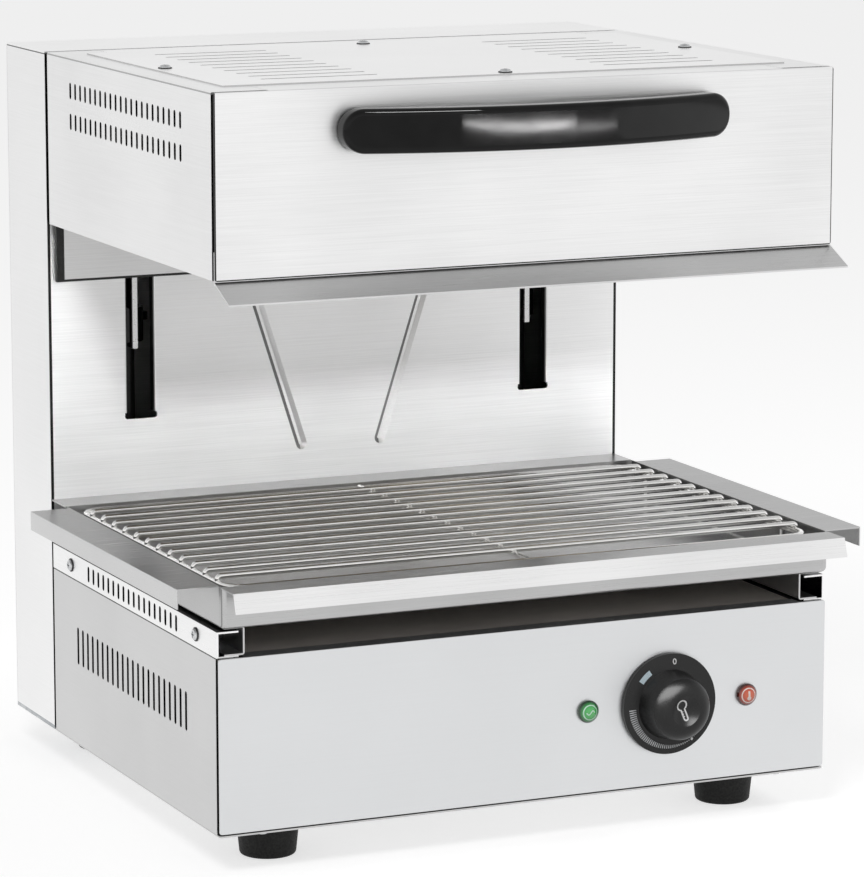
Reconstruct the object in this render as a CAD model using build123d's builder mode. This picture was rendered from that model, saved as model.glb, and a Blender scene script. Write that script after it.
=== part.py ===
from build123d import *
import math
import os

os.makedirs("parts", exist_ok=True)

# Salamander grill: a heated hood that slides on a column above a drip tray and wire grid.
# Millimetres. X runs to the right, Y from front to rear, Z up.
# The origin lies on the standing surface, under the middle of the whole grill.

# Body
body_width = 475.0
base_depth = 344.0
column_depth = 87.0
body_height = 516.0
foot_height = 29.0
base_height = 126.5
hood_height = 128.0
sheet = 1.2
fit = 0.3
corner_radius = 2.0
edge_radius = 0.5
front_groove = 4.4
column_groove = 3.5
front_flange = 18.0
boss_radius = 4.0

# Pan head screws
screw_head_radius = 4.2
screw_head = 2.4
screw_radius = 2.0
screw_length = 9.0
screw_slack = 0.2
recess_length = 4.6
recess_width = 1.0
recess_depth = 1.1

# Base box
base_flange = 20.0
bottom_seam = 0.8
return_depth = 14.0
vent_width = 4.0
vent_pitch = 10.68
vent_count = 22
base_vent_length = 28.3
base_vent_height = 76.5
vent_offset = 3.5

# Feet
foot_top_radius = 23.0
foot_bottom_radius = 20.0
foot_edge = 2.5
foot_inset_x = 56.0
foot_inset_y = 51.0
rear_foot_inset = 42.0
foot_bore_radius = 7.5
foot_bore_depth = 9.0
panel_screw_inset_x = 35.0
panel_screw_inset_y = 9.0

# Rails between the base and the tray
rail_height = 21.5
rail_width = 20.5
rail_step = 3.0
rail_outer_flange = 16.0
rail_inner_flange = 15.0
rail_inset_y = 3.0
rail_vent_count = 18
rail_vent_length = 11.8
rail_screw_inset = 43.0
spacer_radius = 4.5

# Drip tray
tray_height = 30.0
tray_sheet = 1.0
tray_inset = 0.5
tray_corner = 5.0
tray_overhang = 5.0
ledge_rear = 30.0
wing_width = 30.0
wing_front = 2.0
wing_rear_gap = 8.0
wing_lip = 14.0
ledge_front = 23.0
nose_height = 13.5
nose_slope = 4.5
tray_column_gap = 0.8

# Wire grid
grid_side_gap = 9.0
grid_front_gap = 11.0
grid_rear_gap = 5.0
frame_wire = 5.0
rod_wire = 4.0
rod_count = 12
rod_front_inset = 20.5
rod_rear_inset = 27.0
rod_rise = 5.0
rod_bend = 2.6
rod_above_rim = 1.0
cross_sink = 0.5
leg_inset = 40.0

# Regulator, knob and lamps
control_height = 62.2
knob_inset = 128.7
lamp_spacing = 64.0
skirt_radius = 37.0
skirt_back = 0.8
skirt_edge = 4.0
skirt_inner = 5.2
knob_foot_radius = 25.5
knob_top_radius = 22.5
knob_shoulder = 23.0
knob_reach = 30.0
dish_radius = 11.0
dish_depth = 3.5
shaft_radius = 3.0
shaft_fit = 0.05
shaft_in_knob = 16.0
shaft_in_body = 18.0
regulator_size = 46.0
regulator_depth = 32.0
nose_radius = 5.0
lens_radius = 8.2
lens_flange = 1.6
lens_dome = 4.2
lamp_body_radius = 5.8
lamp_body_length = 30.0
hole_slack = 0.2

# Terminal block and cable gland
terminal_width = 62.0
terminal_depth = 28.0
terminal_height = 24.0
terminal_x = -100.0
terminal_from_rear = 54.0
terminal_pole_radius = 3.5
terminal_poles = 5
terminal_pole_depth = 15.0
gland_from_foot = 71.5
gland_radius = 13.0
gland_thread = 9.8
gland_bore = 4.5
gland_collar = 4.0
gland_cap = 12.0
gland_cap_radius = 10.0

# Column
floor_sheet = 3.0
slot_inset = 73.0
slot_width = 21.5
slot_flange = 8.0
slot_bend = 1.8
slot_land = 0.4
slot_ear = 2.4
rib_low_x = 33.0
rib_low_height = 206.0
rib_length = 225.0
rib_lean = 17.8
rib_width = 9.0
rib_depth = 2.8
rib_flank = 50.0
cap_lip = 12.0
rear_flange = 18.0
back_screw_inset = 10.0
back_screw_rows = 4
back_screw_end = 30.0
back_vent_length = 60.0
back_vent_width = 4.0
back_vent_pitch = 12.0
back_vent_rows = 8
back_vent_spacing = 150.0
back_vent_drop = 90.0
crossbar_sheet = 4.0
crossbar_gap = 1.0
crossbar_inset = 10.0

# Lift gear
lift_travel = 118.0
lift_margin = 8.0
guide_radius = 6.0
guide_from_panel = 31.0
bush_wall = 3.0
bush_length = 26.0
bush_fit = 0.05
bush_seat_fit = 0.02
housing_wall = 4.0
arm_sheet = 4.0
arm_front = 11.0
arm_length = 229.0
neck_length = 155.0
arm_top_gap = 3.0
arm_rod_gap = 2.0
tab_height = 6.0
tab_margin = 7.0
rope_radius = 1.5
rope_inboard = 14.5
pulley_pitch_radius = 30.0
pulley_rim = 3.0
pulley_width = 10.0
pulley_drop = 47.0
groove_play = 0.3
pin_radius = 5.0
pin_fit = 0.05
cheek_sheet = 3.0
cheek_gap = 2.0
cheek_width = 28.0
cheek_foot = 14.0
pin_overhang = 2.0
weight_thickness = 32.0
weight_height = 236.0
weight_margin = 15.0
weight_clearance = 10.0
weight_rod_radius = 4.0
weight_rod_inset = 40.0
weight_rod_fit = 0.08
gear_from_rear = 20.0

# Hood
hood_rear_gap = 6.0
hood_flange = 40.0
hood_bottom_flange = 14.0
hood_rear_flange = 20.0
hood_top_return = 56.0
hood_vent_length = 12.0
hood_vent_rows = 2
hood_vent_row_pitch = 22.7
hood_vent_drop = 35.5
back_skin_inset = 10.5
back_skin_drop = 42.0
carriage_sheet = 4.0
carriage_gap = 3.0
carriage_margin = 5.5
carriage_drop = 2.0
carriage_top = 15.0
rail_return = 42.0
rail_leg = 22.0
cover_sheet = 1.0
cover_inset = 20.5
cover_front = 36.0
cover_rear_gap = 36.0
cover_screw_inset = 10.0
louvre_length = 88.0
louvre_width = 3.2
louvre_pitch = 23.0
louvre_rows = 10
louvre_inset = 85.0
visor_reach = 25.0
visor_drop = 12.5
visor_tab = 20.0

# Handle
handle_end_gap = 1.0
handle_half = 148.0
handle_height = 31.0
handle_thickness = 12.0
handle_bulge = 28.0
handle_drop = 29.0
handle_corner = 15.0
handle_edge = 4.5
handle_post_x = 96.0
handle_post_radius = 8.0
handle_spacer = 5.0
handle_spacer_radius = 7.0
handle_screw_depth = 9.0
post_sink = 4.0

# Heating
reflector_sheet = 1.0
reflector_margin = 17.0
reflector_lip = 12.0
reflector_height = 40.0
reflector_front = 14.0
reflector_rear_gap = 4.0
insulation_thickness = 30.0
element_radius = 4.0
element_height = 15.0
element_pairs = 3
element_run_spacing = 50.0
element_end = 20.0
element_fit = 0.2
ceramic_radius = 6.5
ceramic_length = 7.0
hanger_x = 95.0
hanger_sheet = 1.5
hanger_drop = 6.0

# Places that follow from the sizes above
half_width = body_width / 2
inner_half = half_width - sheet
handle_reach = handle_end_gap + handle_thickness + handle_bulge
front_y = (handle_reach - base_depth - column_depth - screw_head) / 2
column_y = front_y + base_depth
rear_y = column_y + column_depth
side_front_y = front_y + sheet + front_groove
side_rear_y = column_y - column_groove
z_base = foot_height
z_base_top = z_base + base_height
z_rail_top = z_base_top + rail_height
z_rim = z_rail_top + tray_height
z_top = z_base + body_height
z_hood = z_top - hood_height
z_column = z_base + floor_sheet
z_controls = z_base + control_height
slot_x = half_width - slot_inset
rope_hood_x = slot_x - rope_inboard
pulley_x = rope_hood_x - pulley_pitch_radius
rope_weight_x = pulley_x - pulley_pitch_radius
weight_rod_x = rope_weight_x - weight_rod_inset
side_vent_y = front_y + base_depth / 2 + vent_offset
sides = (("left", -1), ("right", 1))
low_face = (Align.CENTER, Align.CENTER, Align.MIN)


def front_plane(y):
    """An upright plane across the grill; growing from it goes to the front."""
    return Plane.XZ.offset(-y)


def side_plane(x):
    """An upright plane from front to rear; growing from it goes to the right."""
    return Plane.YZ.offset(x)


def level(z):
    """A horizontal plane; growing from it goes up."""
    return Plane.XY.offset(z)


def block(corner, opposite, mode=Mode.ADD):
    """A box between two opposite corners."""
    low = tuple(min(a, b) for a, b in zip(corner, opposite))
    size = tuple(abs(a - b) for a, b in zip(corner, opposite))
    with Locations(low):
        Box(*size, align=(Align.MIN, Align.MIN, Align.MIN), mode=mode)


def save(builder, name):
    """Label one finished piece and write it."""
    builder.part.label = name
    export_step(builder.part, f"parts/{name}.step")


# Pan head screw with a cross recess, its head seated on z = 0
with BuildPart() as pan_screw:
    Cylinder(screw_head_radius, screw_head, align=low_face)
    fillet(pan_screw.edges().sort_by(Axis.Z)[-1], screw_head * 0.7)
    for turn in (0, 90):
        with Locations(Location((0, 0, screw_head), (0, 0, turn))):
            Box(recess_length, recess_width, 2 * recess_depth, mode=Mode.SUBTRACT)
    Cylinder(screw_radius, screw_length, align=(Align.CENTER, Align.CENTER, Align.MAX))
screw_hole_radius = screw_radius + screw_slack


# Base bottom plate
foot_x = half_width - foot_inset_x
front_foot_y = front_y + foot_inset_y
rear_foot_y = rear_y - rear_foot_inset
front_foot_points = [(sign * foot_x, front_foot_y) for _, sign in sides]
rear_foot_points = [(sign * foot_x, rear_foot_y) for _, sign in sides]
panel_screw_points = [
    (sign * (half_width - panel_screw_inset_x), front_y + panel_screw_inset_y) for _, sign in sides
]
z_panel = z_base + sheet + bottom_seam
with BuildPart() as base_bottom:
    block((-half_width, front_y, z_base), (half_width, column_y, z_base + sheet))
    fillet(base_bottom.edges().filter_by(Axis.Z), corner_radius)
    with BuildSketch(level(z_base)):
        with Locations(*front_foot_points, *panel_screw_points):
            Circle(screw_hole_radius)
    extrude(amount=sheet, mode=Mode.SUBTRACT)
save(base_bottom, "base_bottom")

# Base side panels with one row of vents
for name, sign in sides:
    outer = sign * half_width
    with BuildPart() as base_side:
        block((outer, side_front_y, z_base + sheet), (sign * inner_half, side_rear_y, z_base_top))
        flange_x = sign * (half_width - base_flange)
        block((outer, side_front_y, z_base_top - sheet), (flange_x, side_rear_y, z_base_top))
        block((outer, side_front_y, z_base + sheet), (flange_x, side_rear_y, z_base + 2 * sheet))
        block(
            (outer, side_front_y, z_base + sheet),
            (sign * (half_width - front_flange), side_front_y + sheet, z_base_top - 2 * sheet),
        )
        with BuildSketch(side_plane(outer)):
            with Locations((side_vent_y, z_base + base_vent_height)):
                with GridLocations(vent_pitch, vent_pitch, vent_count, 1):
                    SlotOverall(base_vent_length, vent_width, rotation=90)
        extrude(amount=-sign * sheet, mode=Mode.SUBTRACT)
    save(base_side, f"base_side_{name}")

# Base front panel with holes for the regulator and the lamps
knob_x = half_width - knob_inset
lamp_x = (knob_x - lamp_spacing, knob_x + lamp_spacing)
return_half = half_width - base_flange - fit
panel_height = z_base_top - z_panel
boss_x = half_width - front_flange / 2
with BuildPart() as base_front:
    with BuildSketch(front_plane(front_y + sheet)):
        with Locations((0, z_panel + panel_height / 2)):
            RectangleRounded(body_width, panel_height, corner_radius)
    extrude(amount=sheet)
    front_face = base_front.faces().sort_by(Axis.Y)[0]
    fillet(front_face.outer_wire().edges(), edge_radius)
    block(
        (-return_half, front_y + sheet, z_base_top - sheet),
        (return_half, front_y + return_depth, z_base_top),
    )
    block(
        (-return_half, front_y + sheet, z_panel), (return_half, front_y + return_depth, z_panel + sheet)
    )
    with BuildSketch(front_plane(front_y + sheet)):
        with Locations((0, z_panel + panel_height / 2)):
            with GridLocations(2 * boss_x, panel_height / 2, 2, 2):
                Circle(boss_radius)
    extrude(amount=-front_groove)
    with BuildSketch(front_plane(front_y)):
        with Locations((knob_x, z_controls)):
            Circle(nose_radius + hole_slack)
        with Locations(*[(x, z_controls) for x in lamp_x]):
            Circle(lamp_body_radius + hole_slack)
    extrude(amount=-sheet, mode=Mode.SUBTRACT)
    with BuildSketch(level(z_panel)):
        with Locations(*panel_screw_points):
            Circle(screw_hole_radius)
    extrude(amount=sheet, mode=Mode.SUBTRACT)
save(base_front, "base_front")

# Base top plate, held under the side flanges
with BuildPart() as base_top:
    block(
        (-(inner_half - fit), front_y + sheet + fit, z_base_top - 2 * sheet),
        (inner_half - fit, column_y, z_base_top - sheet),
    )
save(base_top, "base_top")

# Tapered rubber feet, bored from below for their screws
with BuildPart() as feet:
    with Locations(*front_foot_points, *rear_foot_points):
        Cone(foot_bottom_radius, foot_top_radius, foot_height, align=low_face)
    fillet(feet.edges().group_by(Axis.Z)[0], foot_edge)
    with BuildSketch(level(0)):
        with Locations(*front_foot_points, *rear_foot_points):
            Circle(foot_bore_radius)
    extrude(amount=foot_bore_depth, mode=Mode.SUBTRACT)
    with BuildSketch(level(0)):
        with Locations(*front_foot_points, *rear_foot_points):
            Circle(screw_hole_radius)
    extrude(amount=foot_height, mode=Mode.SUBTRACT)
save(feet, "feet")

# Long screws through the feet, heads down
foot_screw_length = foot_height - foot_bore_depth + floor_sheet
with BuildPart() as foot_screws:
    for x, y in front_foot_points + rear_foot_points:
        with Locations(Location((x, y, foot_bore_depth), (180, 0, 0))):
            add(pan_screw.part)
        with Locations((x, y, foot_bore_depth)):
            Cylinder(screw_radius, foot_screw_length, align=low_face)
save(foot_screws, "foot_screws")

# Rails: an outer and an inner slotted channel, nested to a box on each side
rail_front_y = front_y + rail_inset_y
rail_rear_y = column_y - rail_inset_y
rail_screw_y = (front_y + rail_screw_inset, column_y - rail_screw_inset)
z_outer_top = z_rail_top - rail_step
rail_mid_z = (z_base_top + z_outer_top) / 2
spacer_half = half_width - rail_width + sheet


def rail_vents():
    """One row of upright slots along a rail."""
    with Locations((front_y + base_depth / 2, rail_mid_z)):
        with GridLocations(vent_pitch, vent_pitch, rail_vent_count, 1):
            SlotOverall(rail_vent_length, vent_width, rotation=90)


for name, sign in sides:
    outer = sign * half_width
    with BuildPart() as rail_outer:
        lip_x = sign * (half_width - rail_outer_flange)
        block((outer, rail_front_y, z_base_top), (sign * inner_half, rail_rear_y, z_outer_top))
        block((outer, rail_front_y, z_base_top), (lip_x, rail_rear_y, z_base_top + sheet))
        block((outer, rail_front_y, z_outer_top - sheet), (lip_x, rail_rear_y, z_outer_top))
        with BuildSketch(side_plane(outer)):
            rail_vents()
            with Locations(*[(y, rail_mid_z) for y in rail_screw_y]):
                Circle(screw_hole_radius)
        extrude(amount=-sign * sheet, mode=Mode.SUBTRACT)
    save(rail_outer, f"rail_outer_{name}")

    web_x = sign * (half_width - rail_width)
    with BuildPart() as rail_inner:
        open_x = web_x + sign * rail_inner_flange
        z_inner = z_base_top + sheet
        block((web_x, rail_front_y, z_inner), (sign * spacer_half, rail_rear_y, z_rail_top))
        block((web_x, rail_front_y, z_inner), (open_x, rail_rear_y, z_inner + sheet))
        block((web_x, rail_front_y, z_rail_top - sheet), (open_x, rail_rear_y, z_rail_top))
        web_edges = rail_inner.edges().filter_by(Axis.Y).group_by(Axis.X)
        fillet(web_edges[0 if sign > 0 else -1], corner_radius)
        with BuildSketch(side_plane(web_x)):
            rail_vents()
        extrude(amount=sign * sheet, mode=Mode.SUBTRACT)
    save(rail_inner, f"rail_inner_{name}")

with BuildPart() as rail_spacers:
    for _, sign in sides:
        with BuildSketch(side_plane(sign * spacer_half)):
            with Locations(*[(y, rail_mid_z) for y in rail_screw_y]):
                Circle(spacer_radius)
                Circle(screw_hole_radius, mode=Mode.SUBTRACT)
        extrude(amount=sign * (inner_half - spacer_half))
save(rail_spacers, "rail_spacers")

# Drip tray with side wings, a front ledge with a nose and a rear ledge
tray_half = half_width - tray_inset
tray_width = 2 * tray_half
tray_front_y = front_y - tray_overhang
tray_rear_y = column_y - ledge_rear
wing_rear_y = tray_rear_y - wing_rear_gap
tray_mid_y = (tray_front_y + tray_rear_y) / 2
tray_length = tray_rear_y - tray_front_y
nose_y = tray_front_y - ledge_front
with BuildPart() as drip_tray:
    with BuildSketch(level(z_rail_top)):
        with Locations((0, tray_mid_y)):
            RectangleRounded(tray_width, tray_length, tray_corner)
    extrude(amount=tray_height)
    fillet(drip_tray.faces().sort_by(Axis.Z)[0].outer_wire().edges(), tray_corner - tray_sheet)
    rim_face = drip_tray.faces().sort_by(Axis.Z)[-1]
    offset(amount=-tray_sheet, openings=rim_face)
    z_sheet = z_rim - tray_sheet
    for _, sign in sides:
        wing_x = sign * (tray_half + wing_width)
        block(
            (sign * (tray_half - tray_sheet), front_y + wing_front, z_sheet),
            (wing_x, wing_rear_y, z_rim),
        )
        block(
            (wing_x, front_y + wing_front, z_rim - wing_lip),
            (wing_x - sign * tray_sheet, wing_rear_y, z_rim),
        )
    block((-tray_half, nose_y, z_sheet), (tray_half, tray_front_y + tray_sheet, z_rim))
    block(
        (-tray_half, tray_rear_y - tray_sheet, z_sheet), (tray_half, column_y - tray_column_gap, z_rim)
    )
    with BuildSketch(side_plane(-tray_half)):
        with BuildLine():
            Polyline(
                (nose_y, z_rim),
                (nose_y - nose_slope, z_rim - nose_height),
                (nose_y - nose_slope + tray_sheet, z_rim - nose_height),
                (nose_y + tray_sheet, z_rim),
                close=True,
            )
        make_face()
    extrude(amount=tray_width)
save(drip_tray, "drip_tray")

# Wire grid: bent rods on a frame wire, a cross wire under them and legs down to the tray floor
grid_half = tray_half - tray_sheet - grid_side_gap
grid_front_y = tray_front_y + tray_sheet + grid_front_gap
grid_rear_y = tray_rear_y - tray_sheet - grid_rear_gap
rod_pitch = (grid_rear_y - grid_front_y - rod_front_inset - rod_rear_inset) / (rod_count - 1)
z_rod = z_rim + rod_above_rim
z_frame = z_rod - rod_rise
z_cross = z_rod - rod_wire + cross_sink
z_tray_floor = z_rail_top + tray_sheet
frame_bend = 3 * frame_wire
with BuildPart() as wire_grid:
    with BuildLine() as frame_path:
        FilletPolyline(
            (-grid_half, grid_front_y, z_frame),
            (grid_half, grid_front_y, z_frame),
            (grid_half, grid_rear_y, z_frame),
            (-grid_half, grid_rear_y, z_frame),
            radius=frame_bend,
            close=True,
        )
    with BuildSketch(Plane(frame_path.wire() @ 0, z_dir=frame_path.wire() % 0)):
        Circle(frame_wire / 2)
    sweep(path=frame_path.wire())
    for index in range(rod_count):
        rod_y = grid_front_y + rod_front_inset + index * rod_pitch
        with BuildLine() as rod_path:
            FilletPolyline(
                (-grid_half, rod_y, z_frame),
                (-grid_half, rod_y, z_rod),
                (grid_half, rod_y, z_rod),
                (grid_half, rod_y, z_frame),
                radius=rod_bend,
            )
        with BuildSketch(Plane((-grid_half, rod_y, z_frame), z_dir=(0, 0, 1))):
            Circle(rod_wire / 2)
        sweep(path=rod_path.wire())
    with BuildSketch(front_plane(grid_rear_y)):
        with Locations((0, z_cross)):
            Circle(rod_wire / 2)
    extrude(amount=grid_rear_y - grid_front_y)
save(wire_grid, "wire_grid")

with BuildPart() as grid_legs:
    with BuildSketch(level(z_tray_floor)):
        with Locations((0, (grid_front_y + grid_rear_y) / 2)):
            with GridLocations(2 * grid_half, grid_rear_y - grid_front_y - 2 * leg_inset, 2, 2):
                Circle(rod_wire / 2)
    extrude(amount=z_frame - frame_wire / 2 - z_tray_floor)
save(grid_legs, "grid_legs")

# Regulator body behind the front panel, its shaft and the knob
with BuildPart() as regulator_body:
    back_y = front_y + sheet
    half_size = regulator_size / 2
    block(
        (knob_x - half_size, back_y, z_controls - half_size),
        (knob_x + half_size, back_y + regulator_depth, z_controls + half_size),
    )
    fillet(regulator_body.edges().filter_by(Axis.Y), corner_radius)
    with BuildSketch(front_plane(back_y)):
        with Locations((knob_x, z_controls)):
            Circle(nose_radius)
    extrude(amount=sheet)
    with BuildSketch(front_plane(front_y)):
        with Locations((knob_x, z_controls)):
            Circle(shaft_radius + shaft_fit)
    extrude(amount=-(shaft_in_body + fit), mode=Mode.SUBTRACT)
save(regulator_body, "regulator_body")

with BuildPart() as regulator_shaft:
    with BuildSketch(front_plane(front_y + shaft_in_body)):
        with Locations((knob_x, z_controls)):
            Circle(shaft_radius)
    extrude(amount=shaft_in_body + shaft_in_knob)
save(regulator_shaft, "regulator_shaft")

with BuildPart() as knob:
    with BuildSketch(level(z_controls)):
        with BuildLine():
            Polyline(
                (knob_x, front_y - skirt_back),
                (knob_x + skirt_radius, front_y - skirt_back),
                (knob_x + skirt_radius, front_y - skirt_edge),
                (knob_x + knob_foot_radius, front_y - skirt_inner),
                (knob_x + knob_top_radius, front_y - knob_shoulder),
            )
            ThreePointArc(
                (knob_x + knob_top_radius, front_y - knob_shoulder),
                (
                    knob_x + (knob_top_radius + dish_radius) / 2 + dish_depth / 2,
                    front_y - (knob_shoulder + 2 * knob_reach) / 3,
                ),
                (knob_x + dish_radius, front_y - knob_reach),
            )
            TangentArc(
                (knob_x, front_y - knob_reach + dish_depth),
                (knob_x + dish_radius, front_y - knob_reach),
                tangent=(1, 0),
            )
            Line((knob_x, front_y - knob_reach + dish_depth), (knob_x, front_y - skirt_back))
        make_face()
    revolve(axis=Axis((knob_x, 0, z_controls), (0, 1, 0)))
    with BuildSketch(front_plane(front_y - skirt_back)):
        with Locations((knob_x, z_controls)):
            Circle(shaft_radius + shaft_fit)
    extrude(amount=shaft_in_knob - skirt_back, mode=Mode.SUBTRACT)
save(knob, "knob")

# Signal lamps: a domed lens each and a body through the panel
for name, x in zip(("green", "red"), lamp_x):
    with BuildPart() as lamp_lens:
        with BuildSketch(level(z_controls)):
            with BuildLine():
                Polyline((x, front_y), (x + lens_radius, front_y), (x + lens_radius, front_y - lens_flange))
                TangentArc(
                    (x, front_y - lens_flange - lens_dome),
                    (x + lens_radius, front_y - lens_flange),
                    tangent=(1, 0),
                )
                Line((x, front_y - lens_flange - lens_dome), (x, front_y))
            make_face()
        revolve(axis=Axis((x, 0, z_controls), (0, 1, 0)))
    save(lamp_lens, f"{name}_lens")

with BuildPart() as lamp_bodies:
    with BuildSketch(front_plane(front_y + lamp_body_length)):
        with Locations(*[(x, z_controls) for x in lamp_x]):
            Circle(lamp_body_radius)
    extrude(amount=lamp_body_length)
save(lamp_bodies, "lamp_bodies")

# Terminal block on the base bottom and the cable gland under the column floor
terminal_y = column_y - terminal_from_rear
with BuildPart() as terminal_block:
    with Locations((terminal_x, terminal_y, z_base + sheet)):
        Box(terminal_width, terminal_depth, terminal_height, align=low_face)
    fillet(terminal_block.edges().filter_by(Axis.Z), corner_radius)
    with BuildSketch(level(z_base + sheet + terminal_height)):
        with Locations((terminal_x, terminal_y)):
            with GridLocations(terminal_width / terminal_poles, 1, terminal_poles, 1):
                Circle(terminal_pole_radius)
    extrude(amount=-terminal_pole_depth, mode=Mode.SUBTRACT)
save(terminal_block, "terminal_block")

gland_x = foot_x - gland_from_foot
gland_y = rear_y - rear_foot_inset
with BuildPart() as cable_gland:
    with Locations((gland_x, gland_y, z_base)):
        Cylinder(gland_thread, floor_sheet, align=low_face)
        Cylinder(gland_radius, gland_collar, align=(Align.CENTER, Align.CENTER, Align.MAX))
    with Locations((gland_x, gland_y, z_column)):
        Cylinder(gland_radius, gland_collar, align=low_face)
    with Locations((gland_x, gland_y, z_base - gland_collar - gland_cap)):
        Cone(gland_cap_radius, gland_radius, gland_cap, align=low_face)
    with BuildSketch(level(z_base - gland_collar - gland_cap)):
        with Locations((gland_x, gland_y)):
            Circle(gland_bore)
    extrude(amount=gland_cap + 2 * gland_collar + floor_sheet, mode=Mode.SUBTRACT)
save(cable_gland, "cable_gland")

# Column floor
with BuildPart() as column_floor:
    block((-half_width, column_y, z_base), (half_width, rear_y, z_column))
    with BuildSketch(level(z_base)):
        with Locations(*rear_foot_points):
            Circle(screw_hole_radius)
        with Locations((gland_x, gland_y)):
            Circle(gland_thread + hole_slack)
    extrude(amount=floor_sheet, mode=Mode.SUBTRACT)
save(column_floor, "column_floor")

# Column front panel with two lift slots, their turned-in edges and two pressed ribs
z_crossbar = z_top - sheet - cap_lip - crossbar_gap - crossbar_sheet
z_neck_top = z_crossbar - arm_top_gap
z_neck_low = z_top - neck_length
z_slot_low = z_neck_low - lift_travel - lift_margin
z_slot_top = z_neck_top + fit
rib_angle = math.radians(rib_lean)
rib_mid_x = rib_low_x + rib_length / 2 * math.sin(rib_angle)
rib_mid_z = z_base + rib_low_height + rib_length / 2 * math.cos(rib_angle)


def rib_outline(width):
    """Both pressed ribs, leaning outwards to the top."""
    for _, sign in sides:
        with Locations((sign * rib_mid_x, rib_mid_z)):
            SlotOverall(rib_length + width, width, rotation=90 - sign * rib_lean)


with BuildPart() as column_front:
    block((-inner_half, column_y, z_column), (inner_half, column_y + sheet, z_top - sheet))
    with BuildSketch(front_plane(column_y)):
        with Locations((0, z_slot_low + slot_ear)):
            with GridLocations(2 * slot_x, 1, 2, 1):
                SlotOverall(slot_width + 2 * slot_ear, 2 * slot_ear)
        with Locations((0, z_slot_top)):
            with GridLocations(2 * slot_x, 1, 2, 1):
                Rectangle(
                    slot_width + 2 * (slot_bend + slot_land),
                    z_slot_top - z_slot_low - slot_ear,
                    align=(Align.CENTER, Align.MAX),
                )
    extrude(amount=-sheet, mode=Mode.SUBTRACT)
    for _, sign in sides:
        for outward in (-1, 1):
            edge_x = sign * slot_x + outward * slot_width / 2
            bend_x = edge_x + outward * (slot_bend + slot_land)
            inner_x = edge_x + outward * sheet
            with BuildSketch(level(z_slot_low + 2 * slot_ear)) as turned_edge:
                with BuildLine():
                    Polyline(
                        (bend_x, column_y),
                        (edge_x, column_y),
                        (edge_x, column_y + slot_flange),
                        (inner_x, column_y + slot_flange),
                        (inner_x, column_y + sheet),
                        (bend_x, column_y + sheet),
                        close=True,
                    )
                make_face()
                fillet(turned_edge.vertices().sort_by_distance((edge_x, column_y))[0], slot_bend)
                inner_corner = turned_edge.vertices().sort_by_distance((inner_x, column_y + sheet))[0]
                fillet(inner_corner, slot_bend - sheet)
            extrude(amount=z_slot_top - z_slot_low - 2 * slot_ear)
    with BuildSketch(front_plane(column_y + sheet)):
        rib_outline(rib_width + 2 * sheet)
    extrude(amount=-rib_depth, taper=rib_flank / 2)
    with BuildSketch(front_plane(column_y)):
        rib_outline(rib_width)
    extrude(amount=-rib_depth, taper=rib_flank, mode=Mode.SUBTRACT)
save(column_front, "column_front")

# Column side panels with a flange for the back cover
back_screw_x = half_width - back_screw_inset
back_screw_span = z_top - sheet - z_column - 2 * back_screw_end
back_screw_pitch = back_screw_span / (back_screw_rows - 1)
back_screw_mid = (z_top - sheet + z_column) / 2
for name, sign in sides:
    with BuildPart() as column_side:
        outer = sign * half_width
        block((outer, column_y, z_column), (sign * inner_half, rear_y - sheet, z_top - sheet))
        block(
            (outer, rear_y - 2 * sheet, z_column),
            (sign * (half_width - rear_flange), rear_y - sheet, z_top - sheet),
        )
        with BuildSketch(front_plane(rear_y)):
            with Locations((sign * back_screw_x, back_screw_mid)):
                with GridLocations(1, back_screw_pitch, 1, back_screw_rows):
                    Circle(screw_hole_radius)
        extrude(amount=3 * sheet, mode=Mode.SUBTRACT)
    save(column_side, f"column_side_{name}")

# Column top cap with lips inside the side panels
with BuildPart() as column_cap:
    block((-half_width, column_y, z_top - sheet), (half_width, rear_y, z_top))
    fillet(column_cap.edges().filter_by(Axis.Y).group_by(Axis.Z)[-1], edge_radius)
    for _, sign in sides:
        block(
            (sign * inner_half, column_y + crossbar_inset, z_top - sheet - cap_lip),
            (sign * (inner_half - sheet), rear_y - crossbar_inset, z_top - sheet),
        )
save(column_cap, "column_cap")

# Column back cover with two groups of vents
with BuildPart() as back_cover:
    block((-half_width, rear_y - sheet, z_column), (half_width, rear_y, z_top - sheet))
    with BuildSketch(front_plane(rear_y)):
        with Locations((0, z_top - back_vent_drop)):
            with GridLocations(back_vent_spacing, back_vent_pitch, 2, back_vent_rows):
                SlotOverall(back_vent_length, back_vent_width)
        with Locations((0, back_screw_mid)):
            with GridLocations(2 * back_screw_x, back_screw_pitch, 2, back_screw_rows):
                Circle(screw_hole_radius)
    extrude(amount=sheet, mode=Mode.SUBTRACT)
save(back_cover, "back_cover")

# Screws of the rails, of the back cover and, heads down, of the base front panel
with BuildPart() as panel_screws:
    with Locations(*[Location((x, y, z_base), (180, 0, 0)) for x, y in panel_screw_points]):
        add(pan_screw.part)
    for _, sign in sides:
        for y in rail_screw_y:
            with Locations(Location((sign * half_width, y, rail_mid_z), (0, sign * 90, 0))):
                add(pan_screw.part)
        for row in range(back_screw_rows):
            z = z_column + back_screw_end + row * back_screw_pitch
            with Locations(Location((sign * back_screw_x, rear_y, z), (-90, 0, 0))):
                add(pan_screw.part)
save(panel_screws, "panel_screws")

# Upper crossbar, guide rods for the hood and thin rods for the counterweight
with BuildPart() as crossbar:
    block(
        (-inner_half, column_y + crossbar_inset, z_crossbar),
        (inner_half, rear_y - crossbar_inset, z_crossbar + crossbar_sheet),
    )
save(crossbar, "crossbar")

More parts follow.
